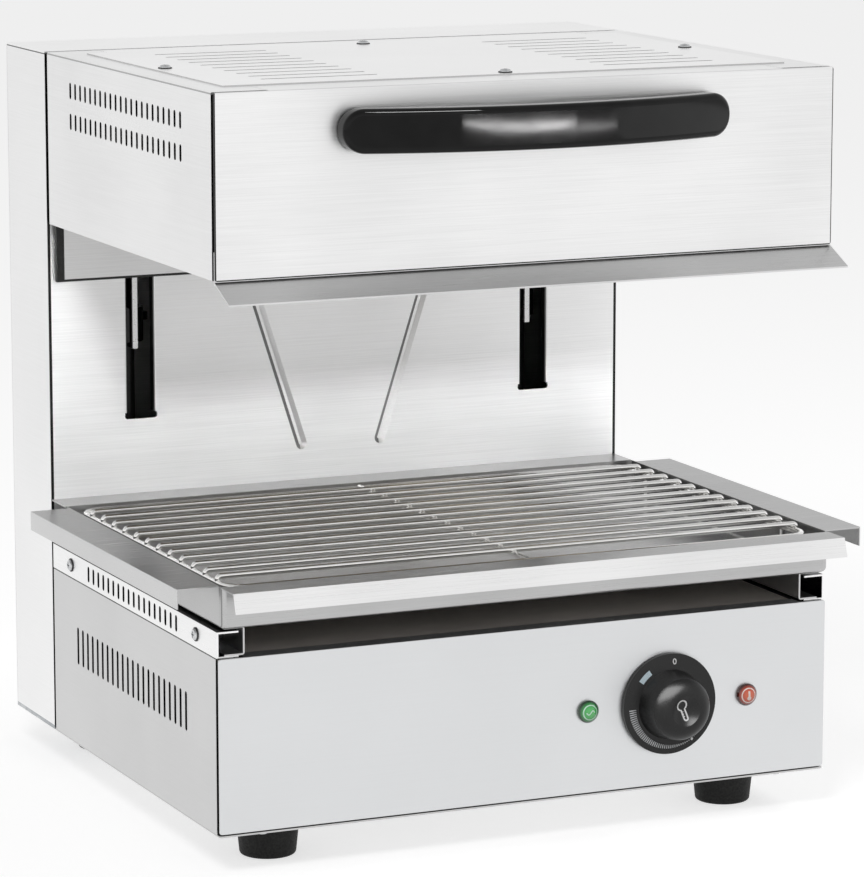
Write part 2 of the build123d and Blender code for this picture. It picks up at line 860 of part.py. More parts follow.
guide_y = column_y + guide_from_panel
gear_y = rear_y - gear_from_rear
with BuildPart() as guide_rods:
    with Locations((0, guide_y, z_column)):
        with GridLocations(2 * slot_x, 1, 2, 1):
            Cylinder(guide_radius, z_crossbar - z_column, align=low_face)
save(guide_rods, "guide_rods")

with BuildPart() as weight_rods:
    with Locations((0, gear_y, z_column)):
        with GridLocations(2 * weight_rod_x, 1, 2, 1):
            Cylinder(weight_rod_radius, z_crossbar - z_column, align=low_face)
save(weight_rods, "weight_rods")

# Lift arms: a plate through each slot with two bush housings and a rope tab
bush_radius = guide_radius + bush_fit + bush_wall
housing_radius = bush_radius + bush_seat_fit + housing_wall
z_arm_low = z_top - arm_length
z_low_bush = z_arm_low + housing_wall
z_high_bush = z_neck_top - bush_length
bush_levels = (z_low_bush, z_high_bush)
arm_front_y = column_y + arm_front
arm_rear_y = guide_y - guide_radius - arm_rod_gap
neck_front_y = column_y - carriage_gap
z_tab = z_low_bush + bush_length / 2
for name, sign in sides:
    with BuildPart() as lift_arm:
        with BuildSketch(side_plane(sign * slot_x - arm_sheet / 2)):
            with BuildLine():
                Polyline(
                    (arm_front_y, z_arm_low),
                    (arm_front_y, z_neck_low),
                    (neck_front_y, z_neck_low),
                    (neck_front_y, z_neck_top),
                    (arm_rear_y, z_neck_top),
                    (arm_rear_y, z_arm_low),
                    close=True,
                )
            make_face()
        extrude(amount=arm_sheet)
        for z in bush_levels:
            with Locations((sign * slot_x, guide_y, z)):
                Cylinder(housing_radius, bush_length, align=low_face)
        block(
            (sign * (slot_x + tab_margin), guide_y + bush_radius + housing_wall / 2, z_tab),
            (sign * (rope_hood_x - tab_margin), gear_y + tab_margin, z_tab + tab_height),
        )
        for z in bush_levels:
            with Locations((sign * slot_x, guide_y, z)):
                Cylinder(bush_radius + bush_seat_fit, bush_length, align=low_face, mode=Mode.SUBTRACT)
    save(lift_arm, f"lift_arm_{name}")

with BuildPart() as guide_bushes:
    for z in bush_levels:
        with BuildSketch(level(z)):
            with Locations((0, guide_y)):
                with GridLocations(2 * slot_x, 1, 2, 1):
                    Circle(bush_radius)
                    Circle(guide_radius + bush_fit, mode=Mode.SUBTRACT)
        extrude(amount=bush_length)
save(guide_bushes, "guide_bushes")

# Pulleys on pins in brackets under the crossbar
pulley_z = z_crossbar - pulley_drop
rope_groove = rope_radius + groove_play
pulley_radius = pulley_pitch_radius + pulley_rim
for name, sign in sides:
    with BuildPart() as pulley:
        with BuildSketch(level(pulley_z)):
            with BuildLine():
                Polyline(
                    (sign * pulley_x, gear_y - pulley_width / 2),
                    (sign * pulley_x + pulley_radius, gear_y - pulley_width / 2),
                    (sign * pulley_x + pulley_radius, gear_y - rope_groove),
                    (sign * pulley_x + pulley_pitch_radius, gear_y - rope_groove),
                )
                ThreePointArc(
                    (sign * pulley_x + pulley_pitch_radius, gear_y - rope_groove),
                    (sign * pulley_x + pulley_pitch_radius - rope_groove, gear_y),
                    (sign * pulley_x + pulley_pitch_radius, gear_y + rope_groove),
                )
                Polyline(
                    (sign * pulley_x + pulley_pitch_radius, gear_y + rope_groove),
                    (sign * pulley_x + pulley_radius, gear_y + rope_groove),
                    (sign * pulley_x + pulley_radius, gear_y + pulley_width / 2),
                    (sign * pulley_x, gear_y + pulley_width / 2),
                    (sign * pulley_x, gear_y - pulley_width / 2),
                )
            make_face()
        revolve(axis=Axis((sign * pulley_x, 0, pulley_z), (0, 1, 0)))
        with BuildSketch(front_plane(gear_y + pulley_width / 2)):
            with Locations((sign * pulley_x, pulley_z)):
                Circle(pin_radius + pin_fit)
        extrude(amount=pulley_width, mode=Mode.SUBTRACT)
    save(pulley, f"pulley_{name}")

cheek_inner = pulley_width / 2 + cheek_gap
cheek_outer = cheek_inner + cheek_sheet
with BuildPart() as pulley_brackets:
    for _, sign in sides:
        left_x = sign * pulley_x - cheek_width / 2
        right_x = sign * pulley_x + cheek_width / 2
        block(
            (left_x, gear_y - cheek_outer, pulley_z - cheek_foot), (right_x, gear_y + cheek_outer, z_crossbar)
        )
        block(
            (left_x, gear_y - cheek_inner, pulley_z - cheek_foot),
            (right_x, gear_y + cheek_inner, z_crossbar - cheek_sheet),
            mode=Mode.SUBTRACT,
        )
    with BuildSketch(front_plane(gear_y + cheek_outer)):
        with Locations((0, pulley_z)):
            with GridLocations(2 * pulley_x, 1, 2, 1):
                Circle(pin_radius + pin_fit)
    extrude(amount=2 * cheek_outer, mode=Mode.SUBTRACT)
save(pulley_brackets, "pulley_brackets")

pin_half = cheek_outer + pin_overhang
with BuildPart() as pulley_pins:
    with BuildSketch(front_plane(gear_y + pin_half)):
        with Locations((0, pulley_z)):
            with GridLocations(2 * pulley_x, 1, 2, 1):
                Circle(pin_radius)
    extrude(amount=2 * pin_half)
save(pulley_pins, "pulley_pins")

# Counterweight with holes for its rods
weight_half = rope_weight_x + weight_margin
z_weight = z_column + weight_clearance
z_weight_top = z_weight + weight_height
with BuildPart() as counterweight:
    block(
        (-weight_half, gear_y - weight_thickness / 2, z_weight),
        (weight_half, gear_y + weight_thickness / 2, z_weight_top),
    )
    chamfer(counterweight.edges().filter_by(Axis.Z), corner_radius)
    with BuildSketch(level(z_weight)):
        with Locations((0, gear_y)):
            with GridLocations(2 * weight_rod_x, 1, 2, 1):
                Circle(weight_rod_radius + weight_rod_fit)
    extrude(amount=weight_height, mode=Mode.SUBTRACT)
save(counterweight, "counterweight")

# Wire ropes: the legs to the hood, the wraps over the pulleys and the legs to the counterweight
rope_legs = (
    ("hood_ropes", rope_hood_x, z_tab + tab_height),
    ("weight_ropes", rope_weight_x, z_weight_top),
)
for name, x, z_low in rope_legs:
    with BuildPart() as ropes:
        with Locations((0, gear_y, z_low)):
            with GridLocations(2 * x, 1, 2, 1):
                Cylinder(rope_radius, pulley_z - z_low, align=low_face)
    save(ropes, name)

with BuildPart() as rope_wraps:
    for _, sign in sides:
        with BuildSketch(level(pulley_z)):
            with Locations((sign * pulley_x + pulley_pitch_radius, gear_y)):
                Circle(rope_radius)
        revolve(axis=Axis((sign * pulley_x, gear_y, pulley_z), (0, -1, 0)), revolution_arc=180)
save(rope_wraps, "rope_wraps")

# Hood side panels with two rows of vents
hood_back_y = column_y - carriage_gap - carriage_sheet - sheet
hood_rear_y = column_y - hood_rear_gap
cover_half = half_width - cover_inset
cover_front_y = front_y + cover_front
cover_rear_y = column_y - cover_rear_gap
cover_mid_y = (cover_front_y + cover_rear_y) / 2
cover_side_x = cover_half - cover_screw_inset
for name, sign in sides:
    outer = sign * half_width
    with BuildPart() as hood_side:
        block((outer, side_front_y, z_hood), (sign * inner_half, hood_rear_y, z_top))
        block(
            (outer, side_front_y, z_top - sheet),
            (sign * (half_width - hood_flange), hood_rear_y, z_top),
        )
        block(
            (outer, side_front_y, z_hood),
            (sign * (half_width - hood_bottom_flange), hood_back_y, z_hood + sheet),
        )
        block(
            (outer, side_front_y, z_hood),
            (sign * (half_width - front_flange), side_front_y + sheet, z_top),
        )
        block(
            (outer, hood_back_y - sheet, z_hood),
            (sign * (half_width - hood_rear_flange), hood_back_y, z_top),
        )
        top_edges = hood_side.edges().filter_by(Axis.Y).group_by(Axis.Z)[-1]
        fillet(top_edges.sort_by(Axis.X)[0 if sign < 0 else -1], corner_radius / 2)
        with BuildSketch(side_plane(outer)):
            with Locations((side_vent_y, z_top - hood_vent_drop)):
                with GridLocations(vent_pitch, hood_vent_row_pitch, vent_count, hood_vent_rows):
                    SlotOverall(hood_vent_length, vent_width, rotation=90)
        extrude(amount=-sign * sheet, mode=Mode.SUBTRACT)
        with BuildSketch(level(z_top)):
            with Locations((sign * cover_side_x, cover_mid_y)):
                Circle(screw_hole_radius)
        extrude(amount=-sheet, mode=Mode.SUBTRACT)
    save(hood_side, f"hood_side_{name}")

# Hood front panel with a top return and holes for the handle screws
z_handle = z_top - handle_drop
top_half = half_width - hood_flange - fit
handle_points = [(sign * handle_post_x, z_handle) for _, sign in sides]
front_screw_y = cover_front_y + cover_screw_inset
rear_screw_y = cover_rear_y - cover_screw_inset
with BuildPart() as hood_front:
    with BuildSketch(front_plane(front_y + sheet)):
        with Locations((0, z_hood + hood_height / 2)):
            RectangleRounded(body_width, hood_height, corner_radius)
    extrude(amount=sheet)
    front_face = hood_front.faces().sort_by(Axis.Y)[0]
    fillet(front_face.outer_wire().edges(), edge_radius)
    block((-top_half, front_y + sheet, z_top - sheet), (top_half, front_y + hood_top_return, z_top))
    with BuildSketch(front_plane(front_y + sheet)):
        with Locations((0, z_hood + hood_height / 2)):
            with GridLocations(2 * boss_x, hood_height / 2, 2, 2):
                Circle(boss_radius)
    extrude(amount=-front_groove)
    with BuildSketch(front_plane(front_y)):
        with Locations(*handle_points):
            Circle(screw_hole_radius)
    extrude(amount=-sheet, mode=Mode.SUBTRACT)
    with BuildSketch(level(z_top)):
        with Locations((0, front_screw_y)):
            Circle(screw_hole_radius)
    extrude(amount=-sheet, mode=Mode.SUBTRACT)
save(hood_front, "hood_front")

# Hood back skin, hanging below the hood in front of the dark carriage plate
z_skin = z_hood - back_skin_drop
back_skin_half = half_width - back_skin_inset
with BuildPart() as hood_back:
    block((-back_skin_half, hood_back_y, z_skin), (back_skin_half, hood_back_y + sheet, z_top - sheet))
save(hood_back, "hood_back")

carriage_half = back_skin_half + carriage_margin
with BuildPart() as carriage_plate:
    block(
        (-carriage_half, hood_back_y + sheet, z_skin - carriage_drop),
        (carriage_half, neck_front_y, z_top - carriage_top),
    )
save(carriage_plate, "carriage_plate")

# Rear top rail of the hood, an angle between the back skin and the cover
with BuildPart() as hood_top_rail:
    block((-top_half, hood_back_y - rail_return, z_top - sheet), (top_half, hood_rear_y, z_top))
    block((-top_half, hood_back_y - sheet, z_top - rail_leg), (top_half, hood_back_y, z_top))
    with BuildSketch(level(z_top)):
        with Locations((0, rear_screw_y)):
            Circle(screw_hole_radius)
    extrude(amount=-sheet, mode=Mode.SUBTRACT)
save(hood_top_rail, "hood_top_rail")

# Hood top cover with two groups of slots
cover_screw_points = [
    (0, front_screw_y),
    (0, rear_screw_y),
    (-cover_side_x, cover_mid_y),
    (cover_side_x, cover_mid_y),
]
with BuildPart() as hood_cover:
    block(
        (-cover_half, cover_front_y, z_top), (cover_half, cover_rear_y, z_top + cover_sheet)
    )
    with BuildSketch(level(z_top)):
        with Locations((0, cover_mid_y)):
            with GridLocations(2 * (cover_half - louvre_inset), louvre_pitch, 2, louvre_rows):
                SlotOverall(louvre_length, louvre_width)
        with Locations(*cover_screw_points):
            Circle(screw_hole_radius)
    extrude(amount=cover_sheet, mode=Mode.SUBTRACT)
save(hood_cover, "hood_cover")

# Visor along the bottom of the hood front
with BuildPart() as visor:
    with BuildSketch(side_plane(-half_width)):
        with BuildLine():
            Polyline(
                (front_y + sheet, z_hood + visor_tab),
                (front_y + 2 * sheet, z_hood + visor_tab),
                (front_y + 2 * sheet, z_hood - 1.5 * sheet),
                (front_y - visor_reach, z_hood - visor_drop - sheet),
                (front_y - visor_reach, z_hood - visor_drop),
                (front_y + sheet, z_hood - sheet / 2),
                close=True,
            )
        make_face()
    extrude(amount=body_width)
save(visor, "visor")

# Bow handle with two bosses, on spacers
bow_end_front = front_y - handle_reach + handle_bulge
bow_mid_front = front_y - handle_reach
bow_radius = (handle_half**2 + handle_bulge**2) / (2 * handle_bulge)
post_fall = bow_radius - math.sqrt(bow_radius**2 - handle_post_x**2)
boss_end_y = bow_mid_front + handle_thickness + post_fall - post_sink
boss_back_y = front_y - handle_spacer
with BuildPart() as handle:
    with BuildSketch(level(z_handle - handle_height / 2)):
        with BuildLine():
            ThreePointArc(
                (-handle_half, bow_end_front), (0, bow_mid_front), (handle_half, bow_end_front)
            )
            Line((handle_half, bow_end_front), (handle_half, bow_end_front + handle_thickness))
            ThreePointArc(
                (handle_half, bow_end_front + handle_thickness),
                (0, bow_mid_front + handle_thickness),
                (-handle_half, bow_end_front + handle_thickness),
            )
            Line((-handle_half, bow_end_front + handle_thickness), (-handle_half, bow_end_front))
        make_face()
    extrude(amount=handle_height)
    with BuildSketch(front_plane(front_y)):
        with Locations((0, z_handle)):
            RectangleRounded(2 * handle_half, handle_height, handle_corner)
    extrude(amount=handle_reach, mode=Mode.INTERSECT)
    bow_front = handle.faces().sort_by(Axis.Y)[0]
    fillet(bow_front.outer_wire().edges(), handle_edge)
    with BuildSketch(front_plane(boss_back_y)):
        with Locations(*handle_points):
            Circle(handle_post_radius)
    extrude(amount=boss_back_y - boss_end_y)
    with BuildSketch(front_plane(boss_back_y)):
        with Locations(*handle_points):
            Circle(screw_hole_radius)
    extrude(amount=handle_screw_depth, mode=Mode.SUBTRACT)
save(handle, "handle")

with BuildPart() as handle_spacers:
    with BuildSketch(front_plane(front_y)):
        with Locations(*handle_points):
            Circle(handle_spacer_radius)
            Circle(screw_hole_radius, mode=Mode.SUBTRACT)
    extrude(amount=handle_spacer)
save(handle_spacers, "handle_spacers")

# Screws of the hood cover and, from inside, of the handle
with BuildPart() as hood_screws:
    with Locations(*[(x, y, z_top + cover_sheet) for x, y in cover_screw_points]):
        add(pan_screw.part)
    for x, z in handle_points:
        with Locations(Location((x, front_y + sheet, z), (-90, 0, 0))):
            add(pan_screw.part)
save(hood_screws, "hood_screws")

# Reflector, an upturned tray that hangs on the side flanges of the hood
reflector_half = inner_half - reflector_margin
reflector_front_y = side_front_y + sheet + reflector_front
reflector_rear_y = hood_back_y - sheet - reflector_rear_gap
z_lip = z_hood + sheet
z_reflector = z_lip + reflector_height
z_element = z_hood + element_height
reflector_mid_y = (reflector_front_y + reflector_rear_y) / 2
pair_pitch = (reflector_rear_y - reflector_front_y) / element_pairs
run_y = [
    reflector_mid_y + (pair - (element_pairs - 1) / 2) * pair_pitch + end * element_run_spacing / 2
    for pair in range(element_pairs)
    for end in (-1, 1)
]
with BuildPart() as reflector:
    block(
        (-reflector_half, reflector_front_y, z_lip), (reflector_half, reflector_rear_y, z_reflector)
    )
    block(
        (-reflector_half + reflector_sheet, reflector_front_y + reflector_sheet, z_lip),
        (
            reflector_half - reflector_sheet,
            reflector_rear_y - reflector_sheet,
            z_reflector - reflector_sheet,
        ),
        mode=Mode.SUBTRACT,
    )
    for _, sign in sides:
        block(
            (sign * reflector_half, reflector_front_y, z_lip),
            (sign * (reflector_half + reflector_lip), reflector_rear_y, z_lip + reflector_sheet),
        )
    with BuildSketch(side_plane(reflector_half)):
        with Locations(*[(y, z_element) for y in run_y]):
            Circle(ceramic_radius + bush_seat_fit)
    extrude(amount=-reflector_sheet, mode=Mode.SUBTRACT)
save(reflector, "reflector")

# Insulation blanket on the reflector
with BuildPart() as insulation:
    block(
        (-reflector_half, reflector_front_y, z_reflector),
        (reflector_half, reflector_rear_y, z_reflector + insulation_thickness),
    )
save(insulation, "insulation")

# Tubular heating elements, hairpins with both ends through the right wall of the reflector
bend_x = -reflector_half + element_end + element_run_spacing / 2
element_end_x = reflector_half + ceramic_length
with BuildPart() as heating_elements:
    for first, second in zip(run_y[0::2], run_y[1::2]):
        with BuildLine() as hairpin:
            Line((element_end_x, first, z_element), (bend_x, first, z_element))
            ThreePointArc(
                (bend_x, first, z_element),
                (bend_x - element_run_spacing / 2, (first + second) / 2, z_element),
                (bend_x, second, z_element),
            )
            Line((bend_x, second, z_element), (element_end_x, second, z_element))
        with BuildSketch(Plane((element_end_x, first, z_element), z_dir=(-1, 0, 0))):
            Circle(element_radius)
        sweep(path=hairpin.wire())
save(heating_elements, "heating_elements")

with BuildPart() as element_ceramics:
    with BuildSketch(side_plane(reflector_half - reflector_sheet)):
        with Locations(*[(y, z_element) for y in run_y]):
            Circle(ceramic_radius)
            Circle(element_radius + bush_seat_fit, mode=Mode.SUBTRACT)
    extrude(amount=ceramic_length)
save(element_ceramics, "element_ceramics")

# Hangers that carry the elements under the reflector
with BuildPart() as element_hangers:
    for _, sign in sides:
        block(
            (
                sign * hanger_x - hanger_sheet / 2,
                reflector_front_y + reflector_sheet,
                z_element - hanger_drop,
            ),
            (
                sign * hanger_x + hanger_sheet / 2,
                reflector_rear_y - reflector_sheet,
                z_reflector - reflector_sheet,
            ),
        )
        with BuildSketch(side_plane(sign * hanger_x - hanger_sheet / 2)):
            with Locations(*[(y, z_element) for y in run_y]):
                Circle(element_radius + element_fit)
        extrude(amount=hanger_sheet, mode=Mode.SUBTRACT)
save(element_hangers, "element_hangers")
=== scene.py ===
# %% [markdown]
# # A salamander grill, dressed in Blender
# A salamander grill gives its heat from above: a heated hood slides up and down on a column, and under
# it a wire grid lies in a drip tray on a base box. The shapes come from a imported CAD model, and this
# lesson gives them their finishes: brushed steel, gloss and satin plastic, rubber, printed marks and light.

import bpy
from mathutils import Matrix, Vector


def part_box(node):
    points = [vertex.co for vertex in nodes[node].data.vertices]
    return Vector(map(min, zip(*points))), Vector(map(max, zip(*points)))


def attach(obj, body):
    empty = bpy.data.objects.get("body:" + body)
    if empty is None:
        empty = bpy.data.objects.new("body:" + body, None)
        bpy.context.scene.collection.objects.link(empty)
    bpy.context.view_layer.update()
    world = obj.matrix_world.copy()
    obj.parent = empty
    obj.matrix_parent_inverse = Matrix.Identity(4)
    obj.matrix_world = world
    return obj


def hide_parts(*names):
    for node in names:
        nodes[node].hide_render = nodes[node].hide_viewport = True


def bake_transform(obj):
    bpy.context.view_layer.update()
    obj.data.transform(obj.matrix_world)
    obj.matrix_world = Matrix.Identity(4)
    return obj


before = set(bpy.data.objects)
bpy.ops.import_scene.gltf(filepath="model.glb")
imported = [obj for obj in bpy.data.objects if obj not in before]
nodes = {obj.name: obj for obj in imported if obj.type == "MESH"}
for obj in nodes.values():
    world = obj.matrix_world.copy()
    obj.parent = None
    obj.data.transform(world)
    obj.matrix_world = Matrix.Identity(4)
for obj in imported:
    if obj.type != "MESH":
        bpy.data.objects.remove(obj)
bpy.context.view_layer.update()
print("nodes:", len(nodes))

# %% Modules and small sizes
import math

import bmesh
import bpy
from mathutils import Vector
from mathutils.bvhtree import BVHTree

MM = 0.001
scene = bpy.context.scene
scene.view_settings.view_transform = "Standard"

# %% [markdown]
# ## Camera
# A product view from the front left and a little above. A long lens keeps the panel edges nearly
# parallel, as catalogue pictures do. The camera could be turned by hand until it fits, but a yaw and a
# pitch are easier to read and to change, so the aim is worked out from those two angles.

# %% Camera
camera_place = (-1.3000, -2.9208, 0.8313)
camera_yaw = math.radians(24.174)
camera_pitch = math.radians(-10.123)


def put_in_scene(name, data):
    """A new object with this data, linked to the scene."""
    thing = bpy.data.objects.new(name, data)
    scene.collection.objects.link(thing)
    return thing


def point_along(thing, direction):
    """Turn a camera or a lamp so that it points along a direction."""
    thing.rotation_euler = direction.to_track_quat("-Z", "Y").to_euler()


camera_data = bpy.data.cameras.new("product_camera")
camera_data.sensor_fit = "VERTICAL"
camera_data.sensor_height = 36.0
camera_data.lens = 179.2
camera_data.clip_end = 100.0
camera = put_in_scene("product_camera", camera_data)
camera.location = camera_place
aim = Vector((
    math.sin(camera_yaw) * math.cos(camera_pitch),
    math.cos(camera_yaw) * math.cos(camera_pitch),
    math.sin(camera_pitch),
))
point_along(camera, aim)
scene.camera = camera
print("camera looks along", tuple(round(value, 3) for value in aim))

# %% [markdown]
# ## Small helpers for node trees
# Every finish below is a node tree, and so is every repeated piece. A few helpers keep the cells short:
# two add a node and fill in its options and inputs by name, one does a step of arithmetic, and one
# starts a material and hands back its shader. An input takes a plain value, another node's output, or a
# node, which then stands for its first output. Nodes and sockets know their tree, so most helpers find
# the tree from what they are given.


# %% Node helpers
def feed(socket, value):
    """Give a socket a plain value, another node's output, or a node, which stands for its first output."""
    if isinstance(value, bpy.types.Node):
        value = value.outputs[0]
    if isinstance(value, bpy.types.NodeSocket):
        socket.id_data.links.new(value, socket)
    else:
        socket.default_value = value


def fill(node, **settings):
    """Fill in a node. Small letters name options, capitals name inputs (underscores stand for spaces)."""
    for name, value in settings.items():
        if name[0].islower():
            setattr(node, name, value)
        else:
            feed(node.inputs[name.replace("_", " ")], value)
    return node


def add_node(tree, kind, **settings):
    """A new node in the tree, filled in."""
    return fill(tree.nodes.new(kind), **settings)


def tree_of(*values):
    """The tree of the first node or socket among these values."""
    return next(value.id_data for value in values if hasattr(value, "id_data"))


def calc(operation, *values):
    """One step of arithmetic on numbers and nodes."""
    node = add_node(tree_of(*values), "ShaderNodeMath", operation=operation)
    for socket, value in zip(node.inputs, values):
        feed(socket, value)
    return node


def spread(value, low, high, from_low=0.3, from_high=0.7):
    """The value, stretched from one range to another."""
    node = add_node(value.id_data, "ShaderNodeMapRange", Value=value, To_Min=low, To_Max=high)
    return fill(node, From_Min=from_low, From_Max=from_high)


print("node helpers ready")


# %% Material helpers
def start_material(name, colour, roughness, metallic=0.0):
    """A new material with a Principled shader: returns the material, its tree and the shader."""
    material = bpy.data.materials.new(name)
    material.use_nodes = True
    tree = material.node_tree
    shader = tree.nodes["Principled BSDF"]
    fill(shader, Base_Color=(*colour, 1.0), Roughness=roughness, Metallic=metallic)
    return material, tree, shader


def object_pattern(tree, scale=(1.0, 1.0, 1.0)):
    """Object coordinates in metres, stretched by a scale for each axis."""
    place = tree.nodes.new("ShaderNodeTexCoord").outputs["Object"]
    return add_node(tree, "ShaderNodeMapping", Vector=place, Scale=scale)


def noise(vector, scale, detail=3.0, roughness=0.55):
    """A noise pattern on these coordinates, as one value from 0 to 1."""
    texture = add_node(vector.id_data, "ShaderNodeTexNoise", Vector=vector, Scale=scale)
    return fill(texture, Detail=detail, Roughness=roughness)


def mix(factor, first, second):
    """Two colours, plain or from other nodes, mixed by a factor."""
    node = add_node(factor.id_data, "ShaderNodeMix", data_type="RGBA", Factor=factor, A=first, B=second)
    return node.outputs["Result"]


def two_tones(value, dark, light):
    """A colour that goes from dark to light with the value."""
    return mix(value, (*dark, 1.0), (*light, 1.0))


def three_tones(value, first, middle, last):
    """A colour that runs through three stops as the value grows. A stop is a value and a colour."""
    ramp = add_node(value.id_data, "ShaderNodeValToRGB", Fac=value)
    stops = ramp.color_ramp.elements
    stops[0].position = first[0]
    stops[1].position = last[0]
    stops.new(middle[0])
    for stop, (_, colour) in zip(stops, (first, middle, last)):
        stop.color = (*colour, 1.0)
    return ramp


def raise_bumps(shader, height, distance, strength):
    """Small bumps on the shader from a height value, distance in metres."""
    bump = add_node(shader.id_data, "ShaderNodeBump", Strength=strength, Distance=distance, Height=height)
    fill(shader, Normal=bump)


print("material helpers ready")

# %% [markdown]
# ## Brushed steel
# The panels are stainless sheet, drawn under an abrasive belt, so they carry fine lines in one
# direction: along the width on the fronts and tops, from front to rear on the sides. An image of
# brushing would need a UV map on every panel. A noise that is stretched about a hundred times along the
# line gives the same look from Object coordinates, and the lines run on from panel to panel as they
# do on sheets cut from one coil. A second, broad noise stands for the soft cloudiness of rolled sheet.
#
# The cut edges of the vents, the flanges behind the skin, the seams and the corners look nearly black
# on the real grill, because shade gathers there, and the finish paints that shade into the colour. It
# finds them by place and by facing: a short list of tests on the Object coordinates and on the surface's
# normal says which zone of a panel has another tone. The same kind of test paints shade on one flank of
# the ribs, and paints light and shade on the tray: a bright nose, rear ledge and wing lips, and darker
# top faces.


# %% Places on a panel
def place_value(tree, what):
    """A place ("x", "y", "z", or "width" from the middle) or a facing ("up" or "right") of the surface."""
    sources = {"up": ("Normal", "Z"), "right": ("Normal", "X"), "width": ("Object", "X")}
    space, axis = sources.get(what, ("Object", what.upper()))
    source = tree.nodes.new("ShaderNodeTexCoord").outputs[space]
    value = add_node(tree, "ShaderNodeSeparateXYZ", Vector=source).outputs[axis]
    if what == "width":
        return calc("ABSOLUTE", value)
    return value


def place_mask(tree, tests):
    """1 where all tests hold, else 0. A test is a place or facing, "below" or "above", and a limit."""
    held = None
    for what, side, limit in tests:
        operation = "LESS_THAN" if side == "below" else "GREATER_THAN"
        test = calc(operation, place_value(tree, what), limit)
        held = test if held is None else calc("MULTIPLY", held, test)
    return held


print("tests by place ready")

# %% Brushed steel
along_scale = 14.0
across_scale = 1500.0
cloud_scale = 7.0
brush_share = 0.7
brush_depth = 0.02 * MM


def brushed_steel(name, tone, along, roughness, contrast, metallic=1.0, blue=1.0, zones=()):
    """Stainless sheet with brush lines along "x" or "y", and zones of another tone by place."""
    colour = (tone * (2.0 - blue), tone, tone * blue)
    material, tree, shader = start_material(name, colour, roughness, metallic)
    stretch = [along_scale if axis == along else across_scale for axis in "xyz"]
    brush = noise(object_pattern(tree, stretch), 1.0, detail=4.0, roughness=0.6)
    cloud = noise(object_pattern(tree), cloud_scale, detail=2.0)
    clouds = spread(cloud, 0.0, 1.0 - brush_share)
    grain = spread(calc("MULTIPLY_ADD", brush, brush_share, clouds), 0.0, 1.0)

    def grained_tone(middle):
        dark = [value * (1.0 - contrast) for value in middle]
        light = [min(1.0, value * (1.0 + contrast)) for value in middle]
        return two_tones(grain, dark, light)

    colours = grained_tone(colour)
    for zone_tone, tests in zones:
        colours = mix(place_mask(tree, tests), colours, grained_tone((zone_tone,) * 3))
    fill(shader, Base_Color=colours, Roughness=spread(brush, roughness - 0.05, roughness + 0.07))
    raise_bumps(shader, brush, brush_depth, strength=0.35)
    return material


print("brushed steel ready")

# %% Zones of the hood, the base and the column
# Tones of painted shade, for hollows, seams and gaps where shade gathers.
painted_shade_tone = 0.03
seam_shade_tone = 0.05
seam = 0.9 * MM
bend = 1.6 * MM
flat = ("up", "above", 0.6)
not_flat = ("up", "below", 0.6)
upright = ("up", "below", 0.5)

skin_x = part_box("base_side_right")[1].x - 0.2 * MM
side_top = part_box("base_side_right")[1].z
rail_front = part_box("rail_outer_right")[0].y
# Painted shade: the vent edges and flanges behind the outer skin, and the inside of the rail ends, are
# painted near black.
inside_skin_shade = (painted_shade_tone, [("width", "below", skin_x)])
inside_rail_shade = (painted_shade_tone, [("width", "below", skin_x), ("y", "above", rail_front + 0.8 * MM)])
# Painted shadow: a dark line along the top of the base sides, under the rails.
rail_seam_shadow = (painted_shade_tone, [("z", "above", side_top - seam)])

column_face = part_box("column_front")[0].y
column_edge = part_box("column_front")[1].x
column_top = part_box("column_side_right")[1].z
lift_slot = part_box("lift_arm_right")[0].x - 20.0 * MM
# Painted shade: a dark line in the gap at the column's front corners, the lips and walls of the lift slots,
# one flank of each rib, and the lift arms inside the column.
corner_gap_shade = (painted_shade_tone, [("width", "above", column_edge - 1.2 * MM)])
slot_lip_shade = (0.30, [("y", "above", column_face + 0.25 * MM), ("width", "above", lift_slot)])
slot_wall_shade = (0.06, [("y", "above", column_face + 1.8 * MM), ("width", "above", lift_slot)])
rib_shade = (0.20, [("right", "above", 0.12), ("width", "below", lift_slot)])
arm_rear_shade = (painted_shade_tone, [("y", "above", column_face + 14.0 * MM)])
# Painted shade: a dark line at the seam under the column cap.
cap_seam_shade = (0.15, [("z", "above", column_top - seam)])

hood_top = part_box("hood_side_right")[1].z
hood_low, hood_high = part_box("hood_front")
# Painted shade: near black inside the hood, darker at its top bend, dark lines at the foot and the ends of
# its front, and darker upright edges on the cover.
inside_hood_shade = (painted_shade_tone, [("width", "below", skin_x), ("z", "below", hood_top - bend)])
hood_edge_shade = (0.45, [("z", "above", hood_top - bend), upright])
hood_foot_shade = (seam_shade_tone, [("z", "below", hood_low.z + seam)])
hood_ends_shade = (seam_shade_tone, [("width", "above", hood_high.x - seam)])
cover_edge_shade = (0.62, [upright, ("y", "below", column_face - 2.0 * MM)])
print("hood top at", round(hood_top / MM), "mm, column top at", round(column_top / MM), "mm")

# %% Zones of the tray
tray_low, tray_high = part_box("drip_tray")
wall_x = tray_high.x - 31.0 * MM
wall_half = 0.3 * MM
# Painted light and shade on the tray: darker top faces, a dark line of shade at the wall, a bright nose, a
# brighter rear ledge and brighter wing lips. The floor of the tray keeps a lighter tone than the top faces.
tray_top_shade = (0.38, [flat])
tray_floor = (0.80, [flat, ("z", "below", tray_high.z - 8.0 * MM)])
tray_wall_shade = (
    0.25,
    [upright, ("width", "above", wall_x - wall_half), ("width", "below", wall_x + wall_half)],
)
tray_nose_highlight = (0.94, [("y", "below", tray_low.y + 6.0 * MM), not_flat])
rear_ledge_light = (0.57, [flat, ("y", "above", tray_high.y - 29.0 * MM)])
wing_lip_highlight = (0.66, [not_flat, ("width", "above", tray_high.x - 0.5 * MM)])
tray_zones = [tray_top_shade, tray_floor, tray_wall_shade, tray_nose_highlight, rear_ledge_light, wing_lip_highlight]
print("zones of the tray:", len(tray_zones))

